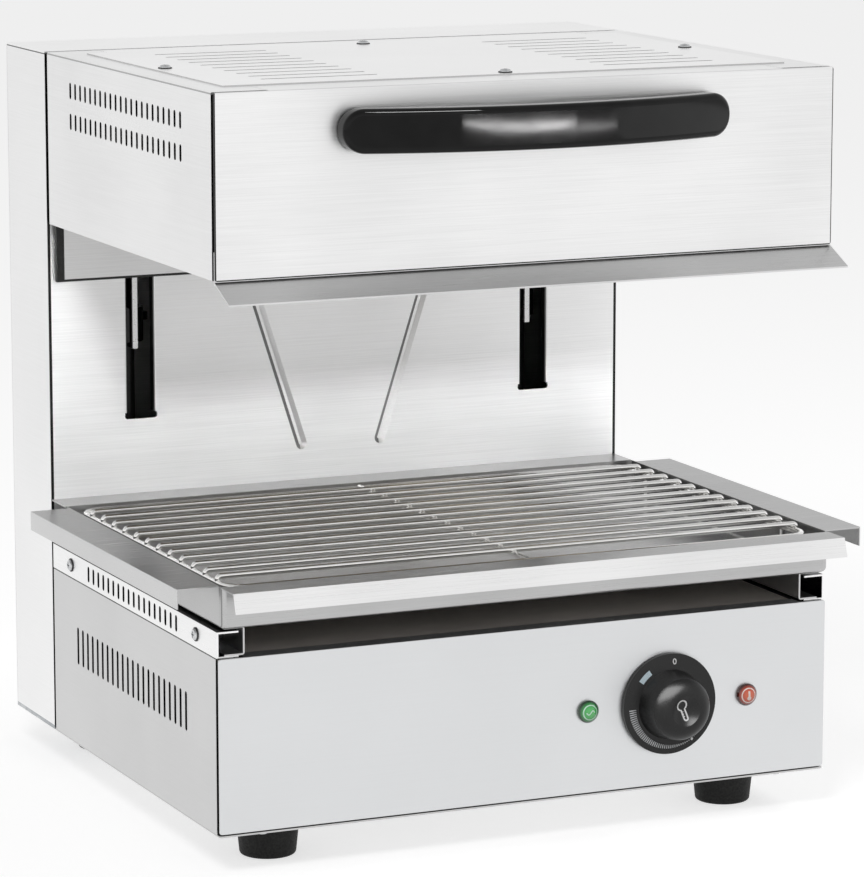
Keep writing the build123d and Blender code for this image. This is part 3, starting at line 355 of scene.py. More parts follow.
# %% Steels of the panels
column_zones = [rib_shade, corner_gap_shade, slot_lip_shade, slot_wall_shade]
# The same stainless gets another tone on each panel: these tones are painted light and shade, paler on the
# hood and the column, darker on the base, the skin, the visor and the tray. The plate under the tray gets a
# paler, less metallic finish as painted light in the tray's shadow.
hood_front_steel = brushed_steel("hood_front_steel", 0.94, "x", 0.36, 0.06, zones=[hood_foot_shade, hood_ends_shade])
hood_side_steel = brushed_steel("hood_side_steel", 0.93, "y", 0.36, 0.04, zones=[hood_edge_shade, inside_hood_shade])
column_side_steel = brushed_steel("column_side_steel", 0.96, "y", 0.36, 0.03, zones=[cap_seam_shade, inside_skin_shade])
column_front_steel = brushed_steel("column_front_steel", 0.98, "x", 0.44, 0.12, zones=column_zones)
skin_steel = brushed_steel("skin_steel", 0.78, "x", 0.40, 0.10)
cover_steel = brushed_steel("cover_steel", 0.97, "x", 0.34, 0.03, zones=[cover_edge_shade])
base_side_steel = brushed_steel("base_side_steel", 0.68, "y", 0.35, 0.05, zones=[inside_skin_shade, rail_seam_shadow])
base_front_steel = brushed_steel("base_front_steel", 0.76, "x", 0.42, 0.02, blue=1.012)
tray_steel = brushed_steel("tray_steel", 0.50, "x", 0.30, 0.08, zones=tray_zones)
visor_steel = brushed_steel("visor_steel", 0.75, "x", 0.30, 0.08)
rail_steel = brushed_steel("rail_steel", 0.95, "y", 0.30, 0.05, zones=[inside_rail_shade])
arm_steel = brushed_steel("arm_steel", 0.96, "y", 0.30, 0.03, metallic=0.6, zones=[arm_rear_shade])
floor_steel = brushed_steel("floor_steel", 0.68, "x", 0.45, 0.10, metallic=0.3, blue=0.93)
inner_steel = brushed_steel("inner_steel", 0.60, "x", 0.38, 0.08)
print("brushed steels:", [m.name for m in bpy.data.materials if m.name.endswith("_steel")])

# %% [markdown]
# ## Plain, plated and heated metals
# Screws are bright zinc, the grid is polished plated wire, the rods of the counterweight are ground, and
# hidden brackets are galvanised. Under the hood the reflector has taken straw and blue heat tints, and
# the heater tubes a dark oxide. One recipe serves most of them: a metal with a fine grain in its colour,
# roughness and surface. Three need a recipe of their own: the galvanised sheet shows its large zinc
# crystals, the wire its drawing marks, and the reflector the clouds of its heat tints.


# %% Grained finishes
def grey(value):
    """A colour without a tint."""
    return (value, value, value)


def grained(name, dark, light, roughness, grain, depth, metal=False, specular=0.5):
    """A finish whose colour, roughness and surface vary with one fine grain."""
    material, tree, shader = start_material(name, light, roughness, metallic=1.0 if metal else 0.0)
    fill(shader, Specular_IOR_Level=specular)
    detail, rougher, smoother, strength = (4.0, 1.3, 0.8, 0.4) if metal else (3.0, 1.2, 0.85, 0.5)
    speck = noise(object_pattern(tree), grain, detail)
    colours = two_tones(spread(speck, 0.0, 1.0), dark, light)
    fill(shader, Base_Color=colours, Roughness=spread(speck, roughness * rougher, roughness * smoother))
    raise_bumps(shader, speck, depth, strength)
    return material


def plain_metal(*look):
    """A metal with a fine grain."""
    return grained(*look, metal=True)


screw_zinc = plain_metal("screw_zinc", (0.52, 0.53, 0.54), (0.74, 0.75, 0.76), 0.24, 900.0, 0.03 * MM)
ground_steel = plain_metal("ground_steel", grey(0.66), (0.80, 0.80, 0.79), 0.14, 700.0, 0.01 * MM)
heater_oxide = plain_metal("heater_oxide", (0.10, 0.085, 0.075), (0.22, 0.19, 0.17), 0.5, 500.0, 0.05 * MM)
cast_iron = plain_metal("cast_iron", grey(0.10), grey(0.22), 0.6, 260.0, 0.2 * MM)
rope_wire = plain_metal("rope_wire", (0.34, 0.34, 0.33), (0.62, 0.62, 0.61), 0.3, 1200.0, 0.03 * MM)
print("plain metals:", screw_zinc.name, ground_steel.name, heater_oxide.name, cast_iron.name)

# %% Galvanised sheet
zinc_sheet, tree, shader = start_material("zinc_sheet", (0.55, 0.57, 0.58), 0.42, metallic=1.0)
crystal = add_node(tree, "ShaderNodeTexVoronoi", Vector=object_pattern(tree), Scale=110.0)
fill(crystal, Randomness=1.0)
tone = add_node(tree, "ShaderNodeSeparateColor", Color=crystal.outputs["Color"])
facet = spread(tone.outputs["Red"], 0.0, 1.0, 0.0, 1.0)
colours = two_tones(facet, (0.44, 0.46, 0.48), (0.62, 0.64, 0.65))
fill(shader, Base_Color=colours, Roughness=spread(tone.outputs["Green"], 0.34, 0.52, 0.0, 1.0))
print("zinc crystals on:", zinc_sheet.name)

# %% Plated wire
bright_wire, tree, shader = start_material("bright_wire", (0.82, 0.82, 0.81), 0.12, metallic=1.0)
drawn = noise(object_pattern(tree, (30.0, 900.0, 900.0)), 1.0)
colours = two_tones(spread(drawn, 0.0, 1.0), (0.84, 0.83, 0.81), (0.97, 0.97, 0.96))
fill(shader, Base_Color=colours, Roughness=spread(drawn, 0.06, 0.16))
print("drawing marks on:", bright_wire.name)

# %% Heated reflector
bare, straw, blue = (0.62, 0.60, 0.57), (0.60, 0.51, 0.36), (0.42, 0.43, 0.50)
heat_tinted_sheet, tree, shader = start_material("heat_tinted_sheet", (0.6, 0.58, 0.54), 0.3, metallic=1.0)
heat = noise(object_pattern(tree, (1.0, 1.6, 1.0)), 9.0)
colours = three_tones(heat, (0.3, bare), (0.52, straw), (0.72, blue))
fill(shader, Base_Color=colours, Roughness=spread(heat, 0.24, 0.4))
print("heat tints on:", heat_tinted_sheet.name)

# %% [markdown]
# ## Plastics, rubber, ceramic and paint
# The handle is gloss black plastic with a polished skin, the knob has a satin moulded grain, the feet
# are matt rubber. None is pure black: real black plastic keeps a little tone, and fine grain breaks up
# its highlight. The recipe is the one of the plain metals, only without the metal: its grain is a noise
# on Object coordinates, so it needs no UV map. Printing ink gets a very fine grain.


# %% Moulded finishes
def printing_ink(name, dark, light, roughness=0.5):
    """Ink of the printed marks, with a very fine grain."""
    return grained(name, dark, light, roughness, 1500.0, 0.01 * MM)


handle_gloss = grained("handle_gloss", grey(0.002), grey(0.005), 0.038, 60.0, 0.005 * MM, specular=0.2)
knob_satin = grained("knob_satin", grey(0.001), grey(0.003), 0.30, 1600.0, 0.02 * MM, specular=0.35)
foot_rubber = grained(
    "foot_rubber", grey(0.004), (0.011, 0.011, 0.010), 0.60, 700.0, 0.08 * MM, specular=0.3
)
# Black paint of the carriage plate; the guide rods wear it as painted shade.
black_paint_and_shade = grained("black_paint_and_shade", grey(0.006), grey(0.016), 0.45, 900.0, 0.04 * MM)
# Black moulding of the regulator, lamps, terminal block and gland; the guide bushes and the screw rings
# wear it as painted shade.
black_moulding_and_shade = grained("black_moulding_and_shade", grey(0.02), grey(0.045), 0.45, 800.0, 0.04 * MM)
pulley_nylon = grained("pulley_nylon", (0.66, 0.65, 0.60), (0.78, 0.77, 0.73), 0.4, 500.0, 0.03 * MM)
heater_ceramic = grained("heater_ceramic", (0.66, 0.62, 0.54), (0.80, 0.77, 0.70), 0.7, 600.0, 0.06 * MM)
mark_white = printing_ink("mark_white", grey(0.88), grey(0.96))
mark_blue = printing_ink("mark_blue", (0.52, 0.64, 0.70), (0.62, 0.74, 0.80))
scale_grey = printing_ink("scale_grey", (0.58, 0.59, 0.60), (0.70, 0.71, 0.72))
print("moulded finishes:", handle_gloss.name, knob_satin.name, foot_rubber.name)

# %% [markdown]
# ## Signal lamp lenses
# Each lamp is a dome of clear coloured plastic over a small bulb. The rim looks nearly black, because
# one sees the dark housing through it at a slant, and the middle glows. A light inside would do it, but
# would not survive an export. So the glow and the dark rim are painted: the colour follows the distance
# from the lamp's own axis, a Mapping node brings the axis to zero, and a gradient runs from a painted
# glow in the middle to painted shade at the rim.


# %% Lamp lens
def lens_plastic(name, node_name, glow, body, rim):
    """Clear coloured plastic with a painted glow in the middle of the lens and painted shade at its rim."""
    low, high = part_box(node_name)
    middle = (low + high) / 2
    radius = (high.x - low.x) / 2
    material, tree, shader = start_material(name, body, 0.08)
    place = tree.nodes.new("ShaderNodeTexCoord").outputs["Object"]
    centre = add_node(tree, "ShaderNodeMapping", Vector=place, Scale=(1.0, 0.0, 1.0))
    fill(centre, Location=(-middle.x, 0.0, -middle.z))
    distance = add_node(tree, "ShaderNodeVectorMath", operation="LENGTH", Vector=centre)
    share = spread(distance.outputs["Value"], 0.0, 1.0, 0.0, radius)
    colours = three_tones(share, (0.30, glow), (0.66, body), (0.92, rim))
    fill(shader, Base_Color=colours, Coat_Weight=0.8, Coat_Roughness=0.03)
    return material


green_glow, green_body, green_rim = (0.10, 0.62, 0.15), (0.03, 0.44, 0.08), (0.003, 0.035, 0.010)
red_glow, red_body, red_rim = (0.82, 0.14, 0.045), (0.60, 0.06, 0.02), (0.045, 0.006, 0.004)
green_lens = lens_plastic("green_lens", "green_lens", green_glow, green_body, green_rim)
red_lens = lens_plastic("red_lens", "red_lens", red_glow, red_body, red_rim)
print("lenses:", green_lens.name, red_lens.name)

# %% [markdown]
# ## Which piece wears which finish
# The CAD nodes keep their meshes and only get a better material in their slots. A list of names for
# each finish is easy to check by eye, and the print at the end shows whether a node was forgotten.

# %% Dress the CAD nodes
finish_of_node = {}


def wear(material, names):
    """These CAD nodes wear this material in all their slots."""
    for name in names.split():
        node = nodes[name]
        if not node.material_slots:
            node.data.materials.append(material)
        for slot in node.material_slots:
            slot.material = material
        finish_of_node[name] = material.name


wear(hood_front_steel, "hood_front")
wear(hood_side_steel, "hood_side_left hood_side_right")
wear(cover_steel, "hood_cover hood_top_rail column_cap")
wear(column_side_steel, "column_side_left column_side_right")
wear(column_front_steel, "column_front")
wear(skin_steel, "hood_back back_cover")
wear(base_side_steel, "base_side_left base_side_right")
wear(base_front_steel, "base_front")
wear(tray_steel, "drip_tray")
wear(visor_steel, "visor")
wear(rail_steel, "rail_outer_left rail_outer_right")
wear(inner_steel, "rail_inner_left rail_inner_right base_bottom handle_spacers")
wear(floor_steel, "base_top")
wear(zinc_sheet, "column_floor crossbar pulley_brackets rail_spacers element_hangers")
wear(arm_steel, "lift_arm_left lift_arm_right")
wear(screw_zinc, "panel_screws hood_screws foot_screws pulley_pins regulator_shaft")
wear(ground_steel, "weight_rods")
wear(bright_wire, "wire_grid grid_legs")
wear(heat_tinted_sheet, "reflector")
wear(heater_oxide, "heating_elements")
wear(heater_ceramic, "element_ceramics")
wear(cast_iron, "counterweight")
# The guide rods wear black as painted shade inside the column; the carriage plate is painted black.
wear(black_paint_and_shade, "carriage_plate guide_rods")
wear(handle_gloss, "handle")
wear(knob_satin, "knob")
wear(foot_rubber, "feet")
# The guide bushes wear black as painted shade inside the column; the other pieces here are black mouldings.
wear(black_moulding_and_shade, "regulator_body lamp_bodies terminal_block cable_gland guide_bushes")
wear(pulley_nylon, "pulley_left pulley_right")
wear(green_lens, "green_lens")
wear(red_lens, "red_lens")
print("dressed:", len(finish_of_node), "bare:", sorted(set(nodes) - set(finish_of_node)))

# %% [markdown]
# ## Helpers for Geometry Nodes
# Rope strands, screw rings, weld beads, ribs and dial ticks repeat, so they come from Geometry Nodes
# trees. Each tree is built here in code, with named inputs for its sizes. The modifier could stay live,
# but an export drops its instances, so each result is baked into one plain mesh.


# %% Helpers to build a tree
def start_tree(name, **sizes):
    """A Geometry Nodes tree with a named input for each size: returns the tree and its inputs."""
    tree = bpy.data.node_groups.new(name, "GeometryNodeTree")
    tree.interface.new_socket("Geometry", in_out="INPUT", socket_type="NodeSocketGeometry")
    for size, value in sizes.items():
        kind = "NodeSocketInt" if isinstance(value, int) else "NodeSocketFloat"
        socket = tree.interface.new_socket(size, in_out="INPUT", socket_type=kind)
        socket.default_value = value
    tree.interface.new_socket("Geometry", in_out="OUTPUT", socket_type="NodeSocketGeometry")
    return tree, tree.nodes.new("NodeGroupInput").outputs


def end_tree(geometry, material):
    """Close the tree: smooth shading, real meshes instead of instances, and a material."""
    tree = geometry.id_data
    smooth = add_node(tree, "GeometryNodeSetShadeSmooth", Geometry=geometry)
    real = add_node(tree, "GeometryNodeRealizeInstances", Geometry=smooth)
    dress = add_node(tree, "GeometryNodeSetMaterial", Geometry=real, Material=material)
    add_node(tree, "NodeGroupOutput", Geometry=dress)


def join_xyz(x, y, z):
    """A vector from three numbers or nodes."""
    return add_node(tree_of(x, y, z), "ShaderNodeCombineXYZ", X=x, Y=y, Z=z)


def scaled(vector, factor):
    """A vector times a number."""
    return add_node(vector.id_data, "ShaderNodeVectorMath", operation="SCALE", Vector=vector, Scale=factor)


def circle(points, radius):
    """A round curve with this many points."""
    return add_node(radius.id_data, "GeometryNodeCurvePrimitiveCircle", Resolution=points, Radius=radius)


def scatter(points, shape, turn=(0.0, 0.0, 0.0), scale=(1.0, 1.0, 1.0)):
    """A copy of the shape on each point, turned and scaled."""
    tree = points.id_data
    angles = add_node(tree, "FunctionNodeEulerToRotation", Euler=turn)
    node = add_node(tree, "GeometryNodeInstanceOnPoints", Points=points, Instance=shape, Scale=scale)
    return fill(node, Rotation=angles)


print("tree helpers ready")


# %% Helpers to bake a tree
def bake(name, carrier):
    """The carrier's mesh with its modifier applied, as a plain piece. The carrier itself goes."""
    evaluated = carrier.evaluated_get(bpy.context.evaluated_depsgraph_get())
    mesh = bpy.data.meshes.new_from_object(evaluated)
    bpy.data.objects.remove(carrier)
    mesh.name = name
    return put_in_scene(name, mesh)


def bake_tree(name, tree, points, edges=(), **sizes):
    """Run a tree on these points with these sizes, and keep the result as a plain mesh."""
    seeds = bpy.data.meshes.new(name + "_points")
    seeds.from_pydata([tuple(point) for point in points], list(edges), [])
    carrier = put_in_scene(name + "_carrier", seeds)
    modifier = carrier.modifiers.new("tree", "NODES")
    modifier.node_group = tree
    for socket in tree.interface.items_tree:
        if socket.in_out == "INPUT" and socket.name in sizes:
            modifier[socket.identifier] = sizes[socket.name]
    piece = bake(name, carrier)
    mesh = piece.data
    finish = [material for material in mesh.materials if material][0]
    mesh.materials.clear()
    mesh.materials.append(finish)
    mesh.polygons.foreach_set("material_index", [0] * len(mesh.polygons))
    print(name, "faces:", len(mesh.polygons), "finish:", finish.name)
    return piece


print("bake helpers ready")

# %% [markdown]
# ## Wire ropes
# Two steel ropes hang the hood from pulleys in the column, and the counterweight hangs on their other
# ends. A smooth tube would look like rod, so the tree sweeps a profile with one lobe for each strand
# along the rope and lets it turn once for every lay. The legs stretch when the hood moves, and here each
# is baked as one plain mesh where it hangs. The turns over the pulleys stay with the base.

# %% Rope tree
rope_radius = 1.5 * MM
ring_points = 36
lobe_depth = 0.12
full_turn = 2 * math.pi
rope_tree, size = start_tree("stranded_rope", radius=rope_radius, lay=12.0 * MM, strands=6)
line = add_node(rope_tree, "GeometryNodeMeshToCurve", Mesh=size["Geometry"])
even = add_node(rope_tree, "GeometryNodeResampleCurve", mode="LENGTH", Curve=line, Length=1.0 * MM)
along_rope = rope_tree.nodes.new("GeometryNodeSplineParameter").outputs["Length"]
turns = calc("DIVIDE", along_rope, size["lay"])
tilt = calc("MULTIPLY", turns, full_turn)
twist = add_node(rope_tree, "GeometryNodeSetCurveTilt", Curve=even, Tilt=tilt)

corner = rope_tree.nodes.new("GeometryNodeInputIndex")
angle = calc("MULTIPLY", corner, full_turn / ring_points)
lobe = calc("COSINE", calc("MULTIPLY", angle, size["strands"]))
share = calc("ADD", calc("MULTIPLY", lobe, lobe_depth), 1.0 - lobe_depth)
place = rope_tree.nodes.new("GeometryNodeInputPosition")
ring = circle(ring_points, size["radius"])
lobed = add_node(rope_tree, "GeometryNodeSetPosition", Geometry=ring, Position=scaled(place, share))
sweep = add_node(rope_tree, "GeometryNodeCurveToMesh", Curve=twist, Profile_Curve=lobed, Fill_Caps=True)
end_tree(sweep, rope_wire)
print("rope tree nodes:", len(rope_tree.nodes))


# %% Rope legs
def loose_parts(node_name):
    """The low and high corners of each separate solid in a CAD node, from a merged copy of its mesh."""
    copy = bmesh.new()
    copy.from_mesh(nodes[node_name].data)
    bmesh.ops.remove_doubles(copy, verts=copy.verts, dist=0.005 * MM)
    boxes = []
    met = set()
    for seed in copy.verts:
        if seed in met:
            continue
        met.add(seed)
        group = [seed]
        for vertex in group:
            for edge in vertex.link_edges:
                other = edge.other_vert(vertex)
                if other not in met:
                    met.add(other)
                    group.append(other)
        low = Vector(min(vertex.co[axis] for vertex in group) for axis in range(3))
        high = Vector(max(vertex.co[axis] for vertex in group) for axis in range(3))
        boxes.append((low, high))
    copy.free()
    return boxes


def rope_legs(name, node_name):
    """The upright rope legs of a CAD node, baked as one plain mesh in place of the node."""
    points = []
    edges = []
    for low, high in loose_parts(node_name):
        middle = (low + high) / 2
        edges.append((len(points), len(points) + 1))
        points += [(middle.x, middle.y, low.z), (middle.x, middle.y, high.z)]
    piece = bake_tree(name, rope_tree, points, edges)
    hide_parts(node_name)
    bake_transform(piece)


rope_legs("hood_rope_legs", "hood_ropes")
rope_legs("weight_rope_legs", "weight_ropes")

# %% Rope turns
points = []
edges = []
arc_steps = 48
for low, high in loose_parts("rope_wraps"):
    middle = (low + high) / 2
    pitch_radius = (high.x - low.x) / 2 - rope_radius
    for step in range(arc_steps + 1):
        swing = math.pi * step / arc_steps
        if step:
            edges.append((len(points) - 1, len(points)))
        turn_x = middle.x - pitch_radius * math.cos(swing)
        points.append((turn_x, middle.y, low.z + pitch_radius * math.sin(swing)))
rope_turns = bake_tree("rope_turns", rope_tree, points, edges)
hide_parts("rope_wraps")
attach(rope_turns, "base")

# %% [markdown]
# ## Insulation blanket
# Mineral wool lies over the reflector, under the cover. A plain slab would look like board. The tree
# takes a finely divided slab and lets a noise push its skin in and out by less than a millimetre, and
# the wool finish adds the fibres: two stretched noises that cross each other.

# %% Wool finish
mineral_wool, tree, shader = start_material("mineral_wool", (0.70, 0.66, 0.54), 0.95)
one_way = noise(object_pattern(tree, (90.0, 900.0, 500.0)), 1.0, detail=4.0)
other_way = noise(object_pattern(tree, (900.0, 90.0, 500.0)), 1.0, detail=4.0)
fibre = calc("MAXIMUM", one_way, other_way)
tone = spread(fibre, 0.0, 1.0, 0.4, 0.75)
fill(shader, Base_Color=two_tones(tone, (0.46, 0.42, 0.31), (0.76, 0.73, 0.62)), Sheen_Weight=0.25)
raise_bumps(shader, fibre, 0.8 * MM, strength=0.8)
print("wool:", mineral_wool.name)

# %% Blanket tree
wool_tree, size = start_tree("wool_blanket", width=0.4, depth=0.3, height=0.02, tuft=0.8 * MM)
slab_size = join_xyz(size["width"], size["depth"], size["height"])
slab = add_node(wool_tree, "GeometryNodeMeshCube", Size=slab_size, Vertices_X=90, Vertices_Y=70)
fill(slab, Vertices_Z=6)
lumps = add_node(wool_tree, "ShaderNodeTexNoise", Scale=70.0, Detail=3.0).outputs["Color"]
centred = add_node(wool_tree, "ShaderNodeVectorMath", operation="SUBTRACT", Vector=lumps)
centred.inputs[1].default_value = (0.5, 0.5, 0.5)
tuft_range = calc("MULTIPLY", size["tuft"], 2.0)
push = scaled(centred, tuft_range)
lumpy = add_node(wool_tree, "GeometryNodeSetPosition", Geometry=slab, Offset=push)
end_tree(scatter(size["Geometry"], lumpy), mineral_wool)

low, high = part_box("insulation")
margin = 1.0 * MM
insulation_blanket = bake_tree(
    "insulation_blanket",
    wool_tree,
    [(low + high) / 2],
    width=high.x - low.x - 2 * margin,
    depth=high.y - low.y - 2 * margin,
    height=high.z - low.z - 2 * margin,
)
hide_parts("insulation")
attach(insulation_blanket, "hood")

# %% [markdown]
# ## Rings of painted shade under the screw heads
# The pan head screws on the cover, the rails and the back show a dark line of shade round each bright
# head, and thin black rings under the heads paint it. Each ring is a circle swept along a circle. The
# tree sets one on every point, and the points are read from the screws' own solids, so they can't drift
# from them.

# %% Ring tree
ring_tree, size = start_tree("screw_shadow_ring", radius=4.6 * MM, wire=0.5 * MM, turn_x=0.0, turn_y=0.0)
torus = add_node(ring_tree, "GeometryNodeCurveToMesh", Curve=circle(32, size["radius"]))
fill(torus, Profile_Curve=circle(8, size["wire"]))
tilt = join_xyz(size["turn_x"], size["turn_y"], 0.0)
end_tree(scatter(size["Geometry"], torus, turn=tilt), black_moulding_and_shade)
print("ring tree nodes:", len(ring_tree.nodes))

# %% Screw rings
rail_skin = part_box("rail_outer_right")[1].x
cover_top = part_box("hood_cover")[1].z
rear_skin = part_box("back_cover")[1].y
seat = 0.3 * MM
rail_seats = []
rear_seats = []
cover_seats = []
for low, high in loose_parts("panel_screws"):
    middle = (low + high) / 2
    if high.x > rail_skin + seat:
        rail_seats.append((rail_skin + seat, middle.y, middle.z))
    elif low.x < -rail_skin - seat:
        rail_seats.append((-rail_skin - seat, middle.y, middle.z))
    elif high.y > rear_skin + seat:
        rear_seats.append((middle.x, rear_skin + seat, middle.z))
for low, high in loose_parts("hood_screws"):
    middle = (low + high) / 2
    if high.z > cover_top + seat:
        cover_seats.append((middle.x, middle.y, cover_top + seat))
# Black rings that paint the shade round the screw heads.
rail_rings = bake_tree("rail_screw_rings", ring_tree, rail_seats, turn_y=math.pi / 2)
rear_rings = bake_tree("rear_screw_rings", ring_tree, rear_seats, turn_x=math.pi / 2)
cover_rings = bake_tree("cover_screw_rings", ring_tree, cover_seats)
for piece, body in ((rail_rings, "base"), (rear_rings, "base"), (cover_rings, "hood")):
    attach(piece, body)

# %% [markdown]
# ## Weld beads on the grid
# The rods of the grid are spot welded to the cross wire under them, and each weld leaves a small
# flattened bead. A dozen beads by hand would be tedious: the tree sets one low bead on each crossing.

# %% Weld beads
weld_tree, size = start_tree("weld_bead", radius=1.3 * MM, flat=0.5)
bead = add_node(weld_tree, "GeometryNodeMeshUVSphere", Segments=10, Rings=6, Radius=size["radius"])
squeeze = join_xyz(1.0, 1.0, size["flat"])
beads = scatter(size["Geometry"], bead, scale=squeeze)
end_tree(beads, bright_wire)

grid_low, grid_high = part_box("wire_grid")
frame_radius = 2.5 * MM
rod_radius = 2.0 * MM
rod_count = 12
first_rod = grid_low.y + frame_radius + 20.5 * MM
last_rod = grid_high.y - frame_radius - 27.0 * MM
weld_points = []
for row in range(rod_count):
    rod_y = first_rod + (last_rod - first_rod) * row / (rod_count - 1)
    weld_points.append((0.0, rod_y, grid_high.z - 2 * rod_radius))
grid_welds = bake_tree("grid_welds", weld_tree, weld_points)
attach(grid_welds, "grid")

# %% [markdown]
# ## Grip ribs on the cable gland
# The cap nut of the gland under the rear edge is turned by hand, so it has ribs all round. The tree
# places one slim bar for each rib on a circle and leans it to follow the nut's taper. The radii of the
# taper are found with two rays cast at the solid, so the ribs sit in its skin.

# %% Rib tree
rib_tree, size = start_tree(
    "gland_ribs", ribs=18, radius=11.5 * MM, height=8.0 * MM, width=1.3 * MM, lean=0.0
)
number = rib_tree.nodes.new("GeometryNodeInputIndex")
bearing = calc("MULTIPLY", calc("DIVIDE", number, size["ribs"]), full_turn)
rib_x = calc("MULTIPLY", calc("COSINE", bearing), size["radius"])
rib_y = calc("MULTIPLY", calc("SINE", bearing), size["radius"])
rib_place = join_xyz(rib_x, rib_y, 0.0)
rib_dots = add_node(rib_tree, "GeometryNodePoints", Count=size["ribs"], Position=rib_place)
half_width = calc("MULTIPLY", size["width"], 0.5)
bar = add_node(rib_tree, "GeometryNodeMeshCylinder", Vertices=8, Radius=half_width, Depth=size["height"])
facing = join_xyz(0.0, size["lean"], bearing)
crown = scatter(rib_dots, bar, turn=facing)
end_tree(scatter(size["Geometry"], crown), black_moulding_and_shade)
print("rib tree nodes:", len(rib_tree.nodes))


# %% Gland ribs
def surface_of(node_name):
    """A CAD node's surface, ready for ray casts."""
    mesh = nodes[node_name].data
    faces = [tuple(face.vertices) for face in mesh.polygons]
    return BVHTree.FromPolygons([vertex.co.copy() for vertex in mesh.vertices], faces)


low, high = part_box("cable_gland")
gland_middle = (low + high) / 2
gland_skin = surface_of("cable_gland")
outside = 0.1
rib_low = low.z + 2.0 * MM
rib_high = low.z + 9.0 * MM
radii = []
for level in (rib_low, rib_high):
    start = Vector((gland_middle.x + outside, gland_middle.y, level))
    radii.append(gland_skin.ray_cast(start, Vector((-1.0, 0.0, 0.0)))[0].x - gland_middle.x)
gland_ribs = bake_tree(
    "gland_ribs",
    rib_tree,
    [(gland_middle.x, gland_middle.y, (rib_low + rib_high) / 2)],
    radius=sum(radii) / 2,
    height=rib_high - rib_low,
    lean=math.atan2(radii[1] - radii[0], rib_high - rib_low),
)
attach(gland_ribs, "base")

# %% [markdown]
# ## Printed marks
# The knob carries a zero, a pale blue field, a scale that narrows to a dot, and a thermometer in the
# dish of its grip. The lamps carry a wave and a thermometer in a ring. The prints are thin ink on
# curved plastic. A texture would need a picture, so each print is drawn as small patches in the front
# view, and a ray from the front lays every corner on the moulding. A Solidify modifier sinks the back
# of the ink into the plastic, so that each print is a closed shell.


# %% Patches of a print
def stroke(points, width, closed=False):
    """Patches along a line of (x, z) points, for one stroke of this width."""
    count = len(points)
    left = []
    right = []
    for index, (x, z) in enumerate(points):
        before = points[index - 1] if closed or index > 0 else points[index]
        after = points[(index + 1) % count] if closed or index < count - 1 else points[index]
        run = Vector((after[0] - before[0], after[1] - before[1])).normalized() * width / 2
        left.append((x - run.y, z + run.x))
        right.append((x + run.y, z - run.x))
    patches = []
    for index in range(count if closed else count - 1):
        onward = (index + 1) % count
        patches.append((right[index], right[onward], left[onward], left[index]))
    return patches


def sector(middle, inner, outer, first, last, steps, rings):
    """Patches that fill part of a ring, angles in degrees, counter-clockwise from the top."""
    patches = []
    for ring in range(rings):
        for step in range(steps):
            corners = []
            for across, along in ((0, 0), (1, 0), (1, 1), (0, 1)):
                radius = inner + (outer - inner) * (ring + across) / rings
                turn = math.radians(first + (last - first) * (step + along) / steps)
                corners.append((middle[0] - radius * math.sin(turn), middle[1] + radius * math.cos(turn)))
            patches.append(tuple(corners))
    return patches


print("patch helpers ready")

# %% Lay a print on a piece
print_lift = 0.06 * MM
print_depth = 0.25 * MM
ray_start_y = -1.0
rearwards = Vector((0.0, 1.0, 0.0))


def front_depth(surface, x, z):
    """Where a ray from the front meets the surface, as its y."""
    return surface.ray_cast(Vector((x, ray_start_y, z)), rearwards)[0].y


def printed(name, node_name, patches, material, body):
    """Patches laid on a CAD node from the front, as a thin closed print that rides on a body."""
    surface = surface_of(node_name)
    ink = bmesh.new()
    for patch in patches:
        ink.faces.new([ink.verts.new((x, front_depth(surface, x, z) - print_lift, z)) for x, z in patch])
    bmesh.ops.remove_doubles(ink, verts=ink.verts, dist=0.01 * MM)
    for face in ink.faces:
        face.normal_update()
        if face.normal.y > 0:
            face.normal_flip()
    sheet = bpy.data.meshes.new(name + "_sheet")
    ink.to_mesh(sheet)
    ink.free()
    sheet.materials.append(material)
    carrier = put_in_scene(name + "_carrier", sheet)
    wall = carrier.modifiers.new("wall", "SOLIDIFY")
    wall.thickness = print_depth
    wall.offset = -1.0
    piece = bake(name, carrier)
    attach(piece, body)
    print(name, "faces:", len(piece.data.polygons))


print("print helpers ready")

# %% Zero and dot on the knob
knob_low, knob_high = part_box("knob")
knob_middle = ((knob_low.x + knob_high.x) / 2, (knob_low.z + knob_high.z) / 2)
scale_radius = 32.8


def on_dial(radius, turn):
    """A point on the dial, radius in mm, turn in degrees counter-clockwise from the top."""
    swing = math.radians(turn)
    x = knob_middle[0] - radius * MM * math.sin(swing)
    return x, knob_middle[1] + radius * MM * math.cos(swing)


zero_middle = on_dial(31.3, -6.0)
zero_half_width = 1.15 * MM
zero_half_height = 1.85 * MM
zero_steps = 28
zero_points = []
for step in range(zero_steps):
    swing = full_turn * step / zero_steps
    zero_x = zero_middle[0] + zero_half_width * math.cos(swing)
    zero_points.append((zero_x, zero_middle[1] + zero_half_height * math.sin(swing)))
white_patches = stroke(zero_points, 0.65 * MM, closed=True)
white_patches += sector(on_dial(scale_radius, 213.0), 0.05 * MM, 1.0 * MM, 0.0, 360.0, 16, 1)
print("patches of zero and dot:", len(white_patches))


# %% Thermometer and field on the knob
def thermometer(bulb, tip, bulb_radius, stem_half):
    """The closed outline of a thermometer from its bulb to its tip, as (x, z) points."""
    way = Vector((tip[0] - bulb[0], tip[1] - bulb[1]))
    length = way.length
    way.normalize()
    opening = math.asin(stem_half / bulb_radius)
    bulb_steps = 24
    tip_steps = 12
    outline = []
    for step in range(bulb_steps + 1):
        swing = opening + (full_turn - 2 * opening) * step / bulb_steps
        outline.append((bulb_radius * math.cos(swing), bulb_radius * math.sin(swing)))
    for step in range(tip_steps + 1):
        swing = -math.pi / 2 + math.pi * step / tip_steps
        outline.append((length - stem_half + stem_half * math.cos(swing), stem_half * math.sin(swing)))
    return [(bulb[0] + u * way.x - v * way.y, bulb[1] + u * way.y + v * way.x) for u, v in outline]


